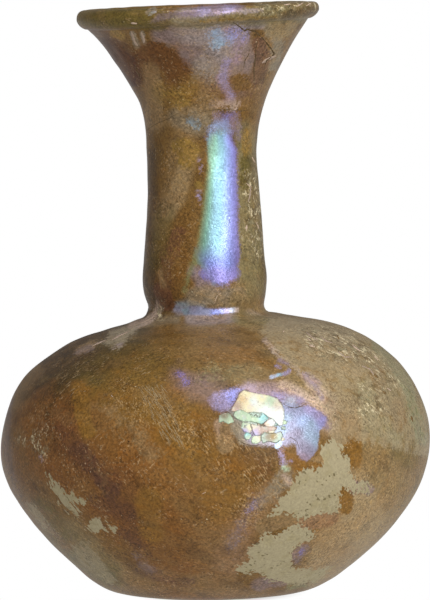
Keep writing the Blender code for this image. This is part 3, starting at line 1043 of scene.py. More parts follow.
# Lime crust: dull drips and smears, each with its width in pixels
SMEARS = Deposit(Tone.SHELL, 0.03, (
    (((140, 322.5), (147, 320), (153, 316), (157, 311)), 2.6),
    (((131, 31), (133, 37), (135, 43), (138, 46)), 3.2),
    (((141, 32), (143, 37), (144, 43)), 3.4),
    (((262, 63), (268, 59), (276, 56)), 3.6),
    (((251, 186), (250, 196), (248, 202)), 1.6),
    (((112, 340), (120, 335), (130, 331)), 2.0),
    (((92, 346), (98, 343), (106, 340)), 1.4),
    (((306, 332), (313, 338), (318, 340)), 1.4),
    (((320, 336), (326, 341), (333, 343)), 1.2),
    (((338, 352), (345, 357), (352, 357)), 1.5),
    (((362, 366), (370, 369), (374, 375)), 1.3),
))

# Lime crust: cream specks and chips, each with its width in pixels
LIME = Deposit(Tone.ROSE, 0.06, (
    (((131, 23), (137, 23.5)), 2.4),
    (((284, 5), (290, 4)), 1.6),
    (((296, 7), (303, 3)), 1.4),
    (((306, 6), (311, 3)), 1.4),
    (((221, 293), (217, 296), (214, 304)), 0.5),
    (((246, 183), (251, 187)), 1.2),
    (((252, 157), (255, 163)), 1.6),
    (((247, 225), (246, 231)), 2.0),
    (((256, 222), (259, 229)), 1.2),
    (((307, 338), (311, 341)), 1.2),
    (((309, 345), (315, 347)), 1.8),
    (((352, 345), (360, 351)), 1.6),
    (((374, 356), (378, 360)), 1.1),
    (((387, 388), (391, 391)), 1.1),
    (((111, 395), (113, 397)), 0.9),
    (((202, 494), (206, 492)), 0.9),
    (((283, 331), (284, 332)), 1.4),
    (((242, 33), (243, 34)), 1.4),
))

# Areas where a web of cream flecks lies over the crust
WEB_AREAS = (
    ((300, 328), (325, 325), (352, 335), (376, 352), (398, 374), (404, 392), (384, 380), (360, 366),
     (336, 360), (308, 352)),
    ((354, 384), (380, 386), (384, 412), (366, 420), (356, 404)),
    ((258, 0), (316, 0), (316, 9), (262, 13)),
    ((242, 172), (258, 172), (264, 236), (258, 262), (246, 236)),
    ((18, 440), (34, 432), (50, 427), (50, 434), (38, 440), (46, 452), (42, 462), (34, 450)),
    ((150, 318), (160, 300), (165, 312), (158, 322)),
)

# Crisp-edged layers of crust
VEILS = {
    Veil.PALE: (
        ((261, 332), (266, 337), (268, 342), (273, 344), (274, 350), (278, 353), (279, 358),
         (285, 362), (288, 368), (294, 369), (297, 374), (303, 375), (305, 381), (310, 383),
         (312, 389), (317, 393), (317, 399), (322, 408), (327, 420), (330, 440), (334, 456),
         (350, 440), (440, 460), (440, 330), (330, 318), (270, 318)),
        ((108, 335), (120, 330), (138, 325), (133, 334), (122, 346), (112, 350), (106, 345)),
        ((70, 545), (88, 541), (96, 551), (102, 562), (109, 572), (118, 581), (112, 585),
         (101, 577), (91, 571), (81, 561)),
        ((27, 500), (34, 505), (41, 514), (49, 525), (56, 535), (48, 532), (39, 522), (30, 511)),
    ),
    Veil.DARK: (
        ((136, 48), (143, 43), (159, 43), (169, 48), (183, 55), (191, 63), (192, 73), (186, 82),
         (176, 85), (169, 90), (164, 83), (162, 72), (156, 64), (148, 62), (143, 64), (140, 72),
         (139, 80), (136, 78), (134, 63)),
        ((109, 45), (120, 50), (134, 56), (135, 78), (130, 80), (118, 62)),
        ((158, 288), (168, 287), (170, 300), (164, 308), (158, 304)),
        ((95, 500), (118, 497), (134, 506), (130, 520), (118, 516), (104, 512)),
        ((118, 532), (134, 528), (146, 544), (152, 556), (134, 550)),
        ((256, 458), (268, 462), (276, 472), (268, 480), (258, 476)),
    ),
    Veil.GOLDEN: (
        ((182, 70), (196, 66), (218, 72), (220, 104), (200, 118), (182, 110), (176, 96)),
        ((170, 215), (200, 205), (197, 255), (182, 288), (166, 285), (160, 250)),
        ((174, 140), (190, 138), (201, 146), (200, 160), (190, 171), (180, 166), (172, 152)),
        ((228, 388), (240, 384), (246, 380), (236, 379)),
        ((112, 32), (124, 32), (125, 39), (114, 39)),
    ),
    Veil.FLECKS: (
        ((200, 426), (240, 440), (275, 462), (270, 490), (230, 480), (205, 460)),
        ((118, 376), (150, 400), (215, 420), (215, 455), (160, 440), (110, 405)),
        ((230, 495), (262, 480), (286, 482), (262, 520), (236, 545), (220, 530)),
        ((320, 520), (380, 470), (412, 480), (390, 530), (330, 575), (305, 560)),
    ),
}


@dataclass(frozen=True)
class Weathering:
    """Carries the marks onto a surface, as colour attributes that its material reads."""

    view: PhotoView
    reach_mm: float = 3.0
    seen_from: Pair = (-0.12, 0.02)
    hidden_to: Pair = (-0.5, 0.0)
    hidden_drift: float = 26.0
    drift_length: float = 0.030
    # Share and wave length in metres of the two noises that move the marks' edges
    coarse_wobble: Pair = (0.6, 0.007)
    fine_wobble: Pair = (0.4, 0.0028)
    least_cover: float = 0.01

    def places(self, points: Array, normals: Array) -> tuple[Array, Array]:
        """Return where the points take their marks from, and how far each is seen.

        Points behind the outline take the tones of the point that hides them, so
        the tones run on around the outline, but from a place that drifts by smooth
        noise, so that the back doesn't repeat the front.

        Args:
            points: the surface's points in metres.
            normals: their directions outward.

        Returns:
            The places in pixels, and 1 for a point in sight down to 0 for a hidden one.
        """
        pixels = self.view.pixels(points)
        sight = np.array(self.view.camera) - points
        sight /= np.linalg.norm(sight, axis=1, keepdims=True)
        facing = np.einsum("ij,ij->i", sight, normals)
        seen = smoothstep(*self.seen_from, facing)
        hidden = 1.0 - smoothstep(*self.hidden_to, facing)
        drift = np.column_stack([waves(points, self.drift_length, seed)
                                 for seed in (Seed.DRIFT_ACROSS, Seed.DRIFT_DOWN)])
        return pixels + drift * (self.hidden_drift * hidden)[:, None], seen

    def laid(self, marks: Sequence[Mark | Sheen | Streak], points: Array, pixels: Array,
             under: Array) -> Array:
        """Lay marks one over another, and return their colours and how far they cover.

        Smooth noise is added to each mark's edge, so that none is airbrushed. Where
        nothing covers a point, its colour is the one under it.

        Args:
            marks: the marks, lowest first.
            points: the surface's points in metres.
            pixels: the places that they take their marks from.
            under: the linear colours under the marks.

        Returns:
            One row of linear red, green, blue and cover a point.
        """
        colours = under.copy()
        cover = np.full(len(points), self.least_cover)
        coarse, fine = self.coarse_wobble, self.fine_wobble
        wobble = (coarse[0] * waves(points, coarse[1], Seed.WOBBLE_COARSE)
                  + fine[0] * waves(points, fine[1], Seed.WOBBLE_FINE))
        for mark in marks:
            weight = mark.weight(pixels, wobble)
            total = weight + cover * (1.0 - weight)
            colours += (weight / total)[:, None] * (mark.colour(pixels) - colours)
            cover = total
        return np.column_stack((colours, cover))

    def ground(self, points: Array, pixels: Array) -> Array:
        """Return the ground colours: the broad tones, mixed over brown."""
        brown = np.tile(Tone.BROWN.rgb, (len(points), 1))
        laid = self.laid(BODY_TONES + NECK_TONES, points, pixels, brown)
        return laid[:, 3:] * laid[:, :3] + (1.0 - laid[:, 3:]) * brown

    @staticmethod
    def deepest(pixels: Array, outlines: Sequence[Points]) -> Array:
        """Return how deep each point lies inside the outline that holds it deepest."""
        return np.max([depth_inside(pixels, outline) for outline in outlines], axis=0)

    def channels(self, depths: Sequence[Array]) -> Array:
        """Return depths in pixels as channels: 0.5 on the edge, 0 or 1 at the reach."""
        depth_mm = np.column_stack(depths) * self.view.mm_per_pixel
        return 0.5 + 0.5 * np.clip(depth_mm / self.reach_mm, -1.0, 1.0)

    def edges(self, pixels: Array, seen: Array) -> Array:
        """Return the channels of the crisp marks, one row of four a point.

        Args:
            pixels: the places that the points take their marks from.
            seen: how far each point is in sight; hidden points get no crisp mark.

        Returns:
            The depths in the bare patches and in the web areas, which also fill the
            two channels that nothing reads.
        """
        bare, web = self.deepest(pixels, BARE_PATCHES), self.deepest(pixels, WEB_AREAS)
        return self.channels((bare, web, web, web)) * (seen > 0.5)[:, None]

    def veils(self, pixels: Array) -> Array:
        """Return the channels of the crust layers, one row of four a point."""
        return self.channels([self.deepest(pixels, VEILS[veil]) for veil in Veil])


def add_node(tree: NodeTree, kind: str, links: Optional[dict] = None, **settings) -> Node:
    """Add a node to a tree, with its settings and its inputs.

    Args:
        tree: the node tree.
        kind: the node's type name, after its first part, ShaderNode.
        links: input name or index to a plain value, another node's output, or
            another node, whose first output in use is taken.
        **settings: the node's own properties.

    Returns:
        The new node.
    """
    node = tree.nodes.new("ShaderNode" + kind)
    for name, value in settings.items():
        setattr(node, name, value)
    for name, source in (links or {}).items():
        if isinstance(source, Node):
            source = next(socket for socket in source.outputs if socket.enabled)
        if isinstance(source, NodeSocket):
            tree.links.new(source, node.inputs[name])
        else:
            node.inputs[name].default_value = source
    return node


def empty_tree(owner: Material | World) -> NodeTree:
    """Switch a material or a world to nodes, and return its node tree, emptied."""
    owner.use_nodes = True
    owner.node_tree.nodes.clear()
    return owner.node_tree


@dataclass(frozen=True)
class Lumps:
    """A pattern of noise: nothing below its low level, its full strength above its high one.

    stretch draws the lumps out, down to the right as seen from the front. With a
    thread, the pattern is a thin line along the noise's middle level instead.
    """

    size_mm: float
    low: float = 0.5
    high: float = 0.7
    strength: float = 1.0
    detail: float = 2.0
    rough: float = 0.5
    stretch: float = 1.0
    slope: float = 50.0
    bend: float = 0.0
    thread: float = 0.0

    def plain(self, tree: NodeTree, where: NodeSocket) -> Node:
        """Add the noise's own nodes, drawn out along its slope, and return the last one."""
        turned = add_node(tree, "Mapping", {
            "Vector": where, "Rotation": (0.0, math.radians(-self.slope), 0.0)})
        drawn = add_node(tree, "Mapping", {"Vector": turned, "Scale": (1 / self.stretch, 1.0, 1.0)})
        return add_node(tree, "TexNoise", {
            "Vector": drawn, "Scale": 1 / (self.size_mm * MM), "Detail": self.detail,
            "Roughness": self.rough, "Distortion": self.bend})

    def build(self, tree: NodeTree, where: NodeSocket) -> Node:
        """Add the pattern's nodes and return the last one.

        Args:
            tree: the node tree.
            where: the position on the surface.

        Returns:
            The node whose first output is the pattern.
        """
        noise = self.plain(tree, where)
        if not self.thread:
            return add_node(tree, "MapRange", {
                "Value": noise, "From Min": self.low, "From Max": self.high,
                "To Max": self.strength}, interpolation_type="SMOOTHSTEP")
        line = add_node(tree, "Math", {0: noise, 1: 0.5, 2: self.thread}, operation="COMPARE")
        return add_node(tree, "Math", {0: line, 1: self.strength}, operation="MULTIPLY")


@dataclass(frozen=True)
class Layer:
    """Something in the skin: its tone, and the patterns that together say where it is.

    area is the name of the mark or veil that it keeps to, if it has one.
    """

    tone: str
    patterns: tuple[Lumps, ...]
    area: Optional[str] = None
    blend: str = "MIX"
    height: float = 0.0

    def lay(self, tree: NodeTree, where: NodeSocket, areas: dict[str, Node], colour: Node,
            height: Node) -> tuple[Node, Node]:
        """Lay this layer over a colour and a height.

        Args:
            tree: the node tree.
            where: the position on the surface.
            areas: the areas' nodes by their names.
            colour: the colour so far.
            height: the height so far.

        Returns:
            The nodes of the colour and the height with this layer on them.
        """
        share = areas[self.area] if self.area else 1.0
        for pattern in self.patterns:
            share = add_node(tree, "Math", {0: pattern.build(tree, where), 1: share},
                             operation="MULTIPLY")
        colour = add_node(tree, "Mix", {0: share, 6: colour, 7: linear(self.tone)},
                          data_type="RGBA", blend_type=self.blend)
        if self.height:
            height = add_node(tree, "Math", {0: share, 1: self.height, 2: height},
                              operation="MULTIPLY_ADD")
        return colour, height


@dataclass(frozen=True)
class Area:
    """A channel that says where something lies, and how its edge breaks up.

    level is the channel's value at the edge, soft the width of the edge, and
    coarse, fine and finest are how far noise moves it, in the channel's own units.
    comb is the same for noise drawn out into teeth.
    """

    attribute: str
    channel: str
    level: float = 0.5
    soft: float = 0.02
    coarse: float = 0.3
    fine: float = 0.3
    finest: float = 0.0
    comb: float = 0.0


@dataclass(frozen=True)
class Finish:
    """What each of the flask's finishes has: its name, its gloss and its bump."""

    name: str
    roughness: float
    specular: float
    metal: float = 0.0
    ior: float = 1.5
    bump_strength: float = 0.5
    bump_mm: float = 0.10

    def dress(self, tree: NodeTree, where: NodeSocket) -> Dressing:
        """Return the colour, height, roughness and metal, each finish in its own way."""
        raise NotImplementedError(self.name)

    def build(self) -> Material:
        """Build the material and return it."""
        material = bpy.data.materials.new(self.name)
        tree = empty_tree(material)
        where = add_node(tree, "TexCoord").outputs["Object"]
        colour, height, rough, metal = self.dress(tree, where)
        bump = add_node(tree, "Bump", {
            "Height": height, "Strength": self.bump_strength, "Distance": self.bump_mm * MM})
        shader = add_node(tree, "BsdfPrincipled", {
            "Base Color": colour, "Roughness": rough, "Metallic": metal, "Normal": bump,
            "IOR": self.ior, "Specular IOR Level": self.specular})
        add_node(tree, "OutputMaterial", {"Surface": shader})
        return material


@dataclass(frozen=True)
class WeatheredGlass(Finish):
    """Natron glass under its weathering crust.

    Blown soda glass that lay in damp ground loses soda from its surface, and what
    stays is a stack of silica films thinner than a hair. To the eye that is a
    satin brown and olive skin with fine light scratches and dark curls, flat khaki
    where the skin has come off, and violet, blue and green where films have lifted.
    """

    name: str = "weathered_natron_glass"
    roughness: float = 0.39
    specular: float = 0.14
    bump_strength: float = 0.6
    # The grain's size and depth, and where it is busier or calmer
    grain_mm: float = 0.42
    grain_depth: float = 3.3
    busy_mm: float = 4.5
    busy_range: Pair = (0.44, 0.60)
    least_busy: float = 0.6
    bare_calm: float = 0.35
    pale_calm: float = -0.25
    # What the film, with the highlights painted into it, and the bare patches change
    film_grain: float = 0.6
    film_metal: float = 0.40
    bare_roughness: float = 0.14
    film_roughness: float = -0.10
    # What breaks up the edges: coarse, fine and finest noise, and the comb
    edge_noises: tuple[Lumps, ...] = (
        Lumps(2.2, detail=4.0, rough=0.6), Lumps(0.55, detail=2.0, rough=0.7),
        Lumps(0.22, detail=1.0, rough=0.6), Lumps(0.5, detail=1.0, stretch=6.0))
    areas: tuple[tuple[str, Area], ...] = (
        ("bare", Area("marks", "Red", 0.5, 0.03, 0.25, 0.15, 0.1, 0.38)),
        ("web", Area("marks", "Green", 0.5, 0.3, 0.6, 0.4)),
        ("pale", Area("veils", "Red", 0.5, 0.06, 0.35, 0.3, 0.2)),
        ("dark", Area("veils", "Green", 0.5, 0.16, 0.5, 0.4, 0.2)),
        ("golden", Area("veils", "Blue", 0.5, 0.3, 0.7, 0.6, 0.3)),
        ("flecks", Area("veils", "Alpha", 0.5, 0.6, 0.6, 0.2)),
        ("crust", Area("crust", "Alpha", 0.45, 0.6, 0.9, 0.9, 0.7)),
        ("film", Area("film", "Alpha", 0.46, 0.75, 0.25, 0.4, 0.9)),
    )
    layers: tuple[Layer, ...] = (
        Layer("#c89c5c", (Lumps(8.0, 0.42, 0.7, 0.25, 4.0, 0.6),), blend="SOFT_LIGHT"),
        Layer("#d8c4a0", (Lumps(0.9, 0.5, 0.7, 0.45, 4.0, 0.65, 8.0, 18.0),),
              blend="SOFT_LIGHT"),
        Layer("#5a4836", (Lumps(3.4, 0.5, 0.66, 0.32, 5.0, 0.65, 1.8),), blend="MULTIPLY"),
        Layer("#8c6e44", (Lumps(5.0, 0.53, 0.56, 0.16, 5.0, 0.65, 1.6),)),
        Layer("#6a4526", (Lumps(2.0, 0.25, 0.4, 0.45),), "dark"),
        Layer("#a8997a", (Lumps(1.8, 0.25, 0.55, 0.5, 3.0, 0.6),), "pale", height=0.1),
        Layer("#9a7440", (Lumps(0.32, 0.5, 0.62, 0.45, 2.0, 0.7),), "golden", height=0.2),
        Layer("#c0a070", (Lumps(0.24, 0.54, 0.62, 0.5, 1.0, 0.5, 5.0, 56.0),
                          Lumps(3.6, 0.42, 0.56, 1.0, 3.0, 0.6)), "flecks", height=0.2),
        Layer("#b0926a", (Lumps(0.3, 0.58, 0.66, 0.5, 2.0, 0.6, 3.0, 30.0),
                          Lumps(4.0, 0.5, 0.62, 1.0, 3.0, 0.6)), height=0.2),
        Layer("#b39a74", (Lumps(0.36, 0.6, 0.66, 0.45, 2.0, 0.6, 3.5, -40.0),
                          Lumps(6.0, 0.52, 0.6, 1.0, 3.0, 0.6)), height=0.2),
        Layer("#46321a", (Lumps(0.8, bend=1.4, thread=0.028, strength=0.55, detail=1.0),
                          Lumps(3.6, 0.54, 0.62, 1.0, 3.0, 0.6)), height=-0.2),
        Layer("#5c4a30", (Lumps(1.6, 0.5, 0.57, 0.6, 4.0, 0.7),), "web"),
        Layer("#8d8668", (Lumps(1.3, 0.54, 0.6, 0.55, 4.0, 0.7),), "web"),
        Layer("#d2c29c", (Lumps(0.7, 0.51, 0.57, 0.9, 4.0, 0.75, 1.5, 40.0, 0.5),
                          Lumps(2.0, 0.46, 0.54, 1.0, 3.0, 0.6)), "web", height=0.4),
        Layer("#d8cca8", (Lumps(0.4, 0.72, 0.76, 0.7), Lumps(4.5, 0.5, 0.6)), height=0.3),
        Layer("#a49878", (Lumps(2.2, 0.0, 0.2, 1.0),), "bare", height=-0.3),
        Layer("#94875f", (Lumps(2.4, 0.5, 0.66, 0.4, 3.0, 0.6),), "bare"),
        Layer("#5f5434", (Lumps(0.6, 0.62, 0.66, 0.75, 1.0, 0.5, 2.0), Lumps(2.6, 0.5, 0.55)),
              "bare", height=-0.3),
    )

    def area_nodes(self, tree: NodeTree, where: NodeSocket) -> dict[str, Node]:
        """Return the areas: 1 inside a mark and 0 outside, with broken edges.

        Args:
            tree: the node tree.
            where: the position on the surface.

        Returns:
            Each area's last node, by its name.
        """
        noises = [noise.plain(tree, where) for noise in self.edge_noises]
        found = {}
        for name, area in self.areas:
            colour = add_node(tree, "Attribute", attribute_name=area.attribute)
            split = add_node(tree, "SeparateColor", {"Color": colour})
            moved = (colour if area.channel == "Alpha" else split).outputs[area.channel]
            reaches = (area.coarse, area.fine, area.finest, area.comb)
            level = area.level + sum(reaches) / 2
            for noise, reach in zip(noises, reaches):
                if reach:
                    moved = add_node(tree, "Math", {0: noise, 1: reach, 2: moved},
                                     operation="MULTIPLY_ADD")
            found[name] = add_node(tree, "MapRange", {
                "Value": moved, "From Min": level - area.soft / 2,
                "From Max": level + area.soft / 2}, interpolation_type="SMOOTHSTEP")
        return found

    def dress(self, tree: NodeTree, where: NodeSocket) -> Dressing:
        """Add the crust, the layers in it and the film over it.

        Args:
            tree: the node tree.
            where: the position on the surface.

        Returns:
            The nodes of the colour, the height, the roughness and the metal.
        """
        ground = add_node(tree, "Attribute", attribute_name="tint")
        crust = add_node(tree, "Attribute", attribute_name="crust")
        film = add_node(tree, "Attribute", attribute_name="film")
        areas = self.area_nodes(tree, where)
        grain = Lumps(self.grain_mm, detail=3.0, rough=0.75).plain(tree, where)
        busy = add_node(tree, "MapRange", {
            "Value": Lumps(self.busy_mm, detail=4.0, rough=0.6).plain(tree, where),
            "From Min": self.busy_range[0], "From Max": self.busy_range[1],
            "To Min": self.least_busy * self.grain_depth, "To Max": self.grain_depth})
        calm = add_node(tree, "MapRange", {
            "Value": areas["bare"], "To Min": 1.0, "To Max": self.bare_calm})
        calm = add_node(tree, "Math", {0: areas["pale"], 1: self.pale_calm, 2: calm},
                        operation="MULTIPLY_ADD")
        busy = add_node(tree, "Math", {0: busy, 1: calm}, operation="MULTIPLY")
        centred = add_node(tree, "Math", {0: grain, 1: 0.5}, operation="SUBTRACT")
        light = add_node(tree, "Math", {0: centred, 1: busy, 2: 1.0}, operation="MULTIPLY_ADD")
        skin = add_node(tree, "Mix", {0: areas["crust"], 6: ground, 7: crust}, data_type="RGBA")
        height = grain
        for layer in self.layers:
            skin, height = layer.lay(tree, where, areas, skin, height)
        skin = add_node(tree, "Mix", {0: 1.0, 6: skin, 7: light}, data_type="RGBA",
                        blend_type="MULTIPLY")
        bright = add_node(tree, "Mix", {0: self.film_grain, 6: film, 7: light},
                          data_type="RGBA", blend_type="MULTIPLY")
        colour = add_node(tree, "Mix", {0: areas["film"], 6: skin, 7: bright}, data_type="RGBA")
        metal = add_node(tree, "Math", {0: areas["film"], 1: self.film_metal}, operation="MULTIPLY")
        matt = add_node(tree, "Math", {
            0: areas["bare"], 1: self.bare_roughness, 2: self.roughness},
            operation="MULTIPLY_ADD")
        rough = add_node(tree, "Math", {
            0: areas["film"], 1: self.film_roughness, 2: matt}, operation="MULTIPLY_ADD")
        return colour, height, rough, metal


@dataclass(frozen=True)
class LiftedFilm(Finish):
    """Silica film that has come up off the glass in flakes.

    A stack of films with air between them sends back nearly all light in the
    colours of mother of pearl, so the flakes look pale, glossy and opaque.
    """

    name: str = "lifted_silica_film"
    roughness: float = 0.38
    metal: float = 0.20
    specular: float = 0.4
    bump_strength: float = 0.35
    swell: Lumps = Lumps(0.7, 0.2, 0.8, 0.5, 3.0, 0.6)
    bands: tuple[Layer, ...] = (
        Layer("#c9b4c8", (Lumps(0.9, 0.52, 0.66, 0.25, 3.0, 0.6),)),
        Layer("#b4d8cc", (Lumps(0.8, 0.54, 0.68, 0.25, 3.0, 0.6, 1.5),)),
        Layer("#f2ead0", (Lumps(0.4, 0.56, 0.7, 0.45, 3.0, 0.7),), height=0.3),
        Layer("#8a8064", (Lumps(0.3, 0.6, 0.68, 0.35, 2.0),), height=-0.3),
        Layer("#6d6248", (Lumps(1.0, bend=1.6, thread=0.012, strength=0.5, detail=1.0),
                          Lumps(2.6, 0.5, 0.56)), height=-0.5),
    )

    def dress(self, tree: NodeTree, where: NodeSocket) -> Dressing:
        """Return the colour, height, roughness and metal: the tint under bands of colour."""
        colour = add_node(tree, "Attribute", attribute_name="tint")
        height = self.swell.build(tree, where)
        for band in self.bands:
            colour, height = band.lay(tree, where, {}, colour, height)
        return colour, height, self.roughness, self.metal


@dataclass(frozen=True)
class DriedCrust(Finish):
    """Lime and soil that dried on in the ground: matt, chalky and a little crumbly."""

    name: str = "dried_lime_and_soil"
    crumb: Lumps = Lumps(0.35, 0.4, 0.62, 0.45, 3.0, 0.7)
    crumb_tone: str = "#8f7c5c"
    roughness: float = 0.82
    specular: float = 0.25

    def dress(self, tree: NodeTree, where: NodeSocket) -> Dressing:
        """Return the colour, height, roughness and metal: the tint under small crumbs."""
        tint = add_node(tree, "Attribute", attribute_name="tint")
        crumb = self.crumb.build(tree, where)
        colour = add_node(tree, "Mix", {
            0: crumb, 6: tint, 7: linear(self.crumb_tone)}, data_type="RGBA")
        return colour, crumb, self.roughness, self.metal


def put_colours(mesh: Mesh, name: str, rows: Array) -> None:
    """Write a colour attribute, one row of four values for each point of a mesh."""
    layer = mesh.color_attributes.new(name, "FLOAT_COLOR", "POINT")
    layer.data.foreach_set("color", rows.astype(np.float32).ravel())


def ring_faces(rows: int, columns: int) -> Faces:
    """Return the four-sided faces between rings of points, each ring closed on itself."""
    row, column = np.meshgrid(np.arange(rows - 1), np.arange(columns), indexing="ij")
    beside = (column + 1) % columns
    quads = np.stack(((row + 1) * columns + column, (row + 1) * columns + beside,
                      row * columns + beside, row * columns + column), axis=-1)
    return quads.reshape(-1, 4).tolist()


def fan_faces(ring: Array, middle: int) -> Faces:
    """Return the three-sided faces between a ring of points, in order, and its middle one."""
    return np.stack((ring, np.roll(ring, -1), np.full(len(ring), middle)), axis=-1).tolist()


def make_object(name: str, verts: Array, faces: Faces, material: Material) -> Object:
    """Build a smooth-shaded object from points and faces, and return it."""
    mesh = bpy.data.meshes.new(name)
    mesh.from_pydata(verts.tolist(), [], faces)
    mesh.update()
    mesh.shade_smooth()
    mesh.materials.append(material)
    made = bpy.data.objects.new(name, mesh)
    bpy.context.scene.collection.objects.link(made)
    return made


@dataclass(frozen=True)
class Flask:
    """The blown flask: one closed wall, from the floor inside over the collar to the underside."""

    form: FlaskForm = FlaskForm()
    outer_rows: int = 336
    inner_rows: int = 44
    segments: int = 260
    front_density: float = 0.52
    # How much closer the rows lie on each zone, and the heights where it sets in
    belly_density: float = 1.1
    collar_density: float = 2.2
    neck_density: float = 0.25
    underside_density: float = -0.5
    belly_from: Pair = (0.022, 0.026)
    belly_to: Pair = (0.037, 0.041)
    collar_from: Pair = (0.094, 0.0965)
    neck_from: Pair = (0.050, 0.055)
    underside_to: Pair = (0.0, 0.003)
    # The relief's heights in millimetres, and its wave lengths in metres
    sag_mm: float = 0.08
    ripple_mm: float = 0.018
    draw_lines_mm: float = 0.015
    sag_length: float = 0.016
    ripple_length: float = 0.0042
    draw_lines_length: float = 0.0030
    draw_lines_squash: float = 0.12
    draw_lines_from: Pair = (0.048, 0.056)
    relief_from: Pair = (0.0, 0.004)
    inner_relief: float = 0.3

    def rings(self) -> Array:
        """Return the rows of the grid, closer together on the collar and the lit belly."""
        outside, inside = self.form.faces()
        z = outside[:, 0]
        belly = smoothstep(*self.belly_from, z) - smoothstep(*self.belly_to, z)
        collar = smoothstep(*self.collar_from, z)
        underside = 1.0 - smoothstep(*self.underside_to, z)
        neck = smoothstep(*self.neck_from, z)
        density = (1.0 + self.belly_density * belly + self.collar_density * collar
                   + self.underside_density * underside + self.neck_density * neck)
        outer = resampled(outside, density, self.outer_rows)
        inner = resampled(inside, np.ones(len(inside)), self.inner_rows)
        return np.vstack((inner, outer))

    def angles(self) -> Array:
        """Return the angles of the grid, closer together at the front.

        The angle is a turn t about the front, less front_density times sin(t).
        """
        turn = np.linspace(-math.pi, math.pi, self.segments, endpoint=False)
        return -math.pi / 2 + turn - self.front_density * np.sin(turn)

    def grid(self) -> Array:
        """Return the points of the true form, rows by angles.

        A ring's point is its centre plus (r cos a cos lean, r sin a, r cos a sin lean).
        """
        height, radius, shift, lean = (column[:, None] for column in self.rings().T)
        angle = self.angles()[None, :]
        lean = np.radians(lean)
        across = radius * np.cos(angle)
        return np.stack((shift + across * np.cos(lean), radius * np.sin(angle),
                         height + across * np.sin(lean)), axis=-1)

    @staticmethod
    def normals(grid: Array) -> Array:
        """Return the outward directions: the cross product of the grid's two slopes."""
        along_rows = np.gradient(grid, axis=0)
        wrapped = np.concatenate((grid[:, -1:], grid, grid[:, :1]), axis=1)
        around = (wrapped[:, 2:] - wrapped[:, :-2]) / 2
        cross = np.cross(around, along_rows)
        length = np.linalg.norm(cross, axis=-1, keepdims=True)
        return -cross / np.maximum(length, 1e-12)

    def relief(self, points: Array, outside: Array) -> Array:
        """Return how far the hand-blown surface stands off the true form.

        It is a slow sag, a finer ripple, and on the neck lines drawn upward by the
        pull of the blowing iron, which are waves that hardly change with the height.

        Args:
            points: the points of the true form.
            outside: 1 for points of the outer face, 0 for the inner.

        Returns:
            The offset along the normal, in metres.
        """
        sag = self.sag_mm * waves(points, self.sag_length, Seed.SAG)
        ripple = self.ripple_mm * waves(points, self.ripple_length, Seed.RIPPLE)
        flat = points * np.array((1.0, 1.0, self.draw_lines_squash))
        lines = self.draw_lines_mm * waves(flat, self.draw_lines_length, Seed.DRAW_LINES)
        on_neck = smoothstep(*self.draw_lines_from, points[:, 2])
        rest = smoothstep(*self.relief_from, points[:, 2])
        share = self.inner_relief + (1 - self.inner_relief) * outside
        return (sag + ripple + lines * on_neck) * rest * share * MM

    def faces(self, rows: int, columns: int) -> Faces:
        """Return the faces: four-sided ones on the grid, and a fan over each open end."""
        points, ring = rows * columns, np.arange(columns)
        return (ring_faces(rows, columns) + fan_faces(ring, points)
                + fan_faces(points - 1 - ring, points + 1))

    def build(self, weathering: Weathering, material: Material) -> Object:
        """Build the flask's mesh, carry the marks onto it and dress it.

        Args:
            weathering: carries the marks.
            material: the finish.

        Returns:
            The flask's object.
        """
        grid = self.grid()
        rows, columns = grid.shape[:2]
        outside = np.repeat((np.arange(rows) >= self.inner_rows).astype(float), columns)
        normals = self.normals(grid).reshape(-1, 3)
        points = grid.reshape(-1, 3)
        points = points + normals * self.relief(points, outside)[:, None]
        verts = np.vstack((points, points[:columns].mean(axis=0), points[-columns:].mean(axis=0)))
        flask = make_object("weathered_flask", verts, self.faces(rows, columns), material)

        normals = np.vstack((normals, normals[0], normals[-1]))
        outside = np.append(outside, (0.0, 1.0))
        pixels, seen = weathering.places(verts, normals)
        seen = seen * outside
        ground = weathering.ground(verts, pixels)
        inner = 0.5 * (ground + Tone.MILK.rgb)
        ground = np.where(outside[:, None] > 0.5, ground, inner)
        crust = weathering.laid(BODY_CRUST_AND_HIGHLIGHT + NECK_CRUST_AND_HIGHLIGHT, verts, pixels, ground)
        # The film attribute holds the iridescent film and the painted highlights on the neck, collar
        # and shoulder
        film = weathering.laid(FILM_AND_HIGHLIGHTS, verts, pixels, ground)
        film[:, 3] *= seen
        put_colours(flask.data, "tint", np.column_stack((ground, np.ones(len(verts)))))
        put_colours(flask.data, "crust", crust)
        put_colours(flask.data, "film", film)
        put_colours(flask.data, "marks", weathering.edges(pixels, seen))
        put_colours(flask.data, "veils", weathering.veils(pixels))
        return flask


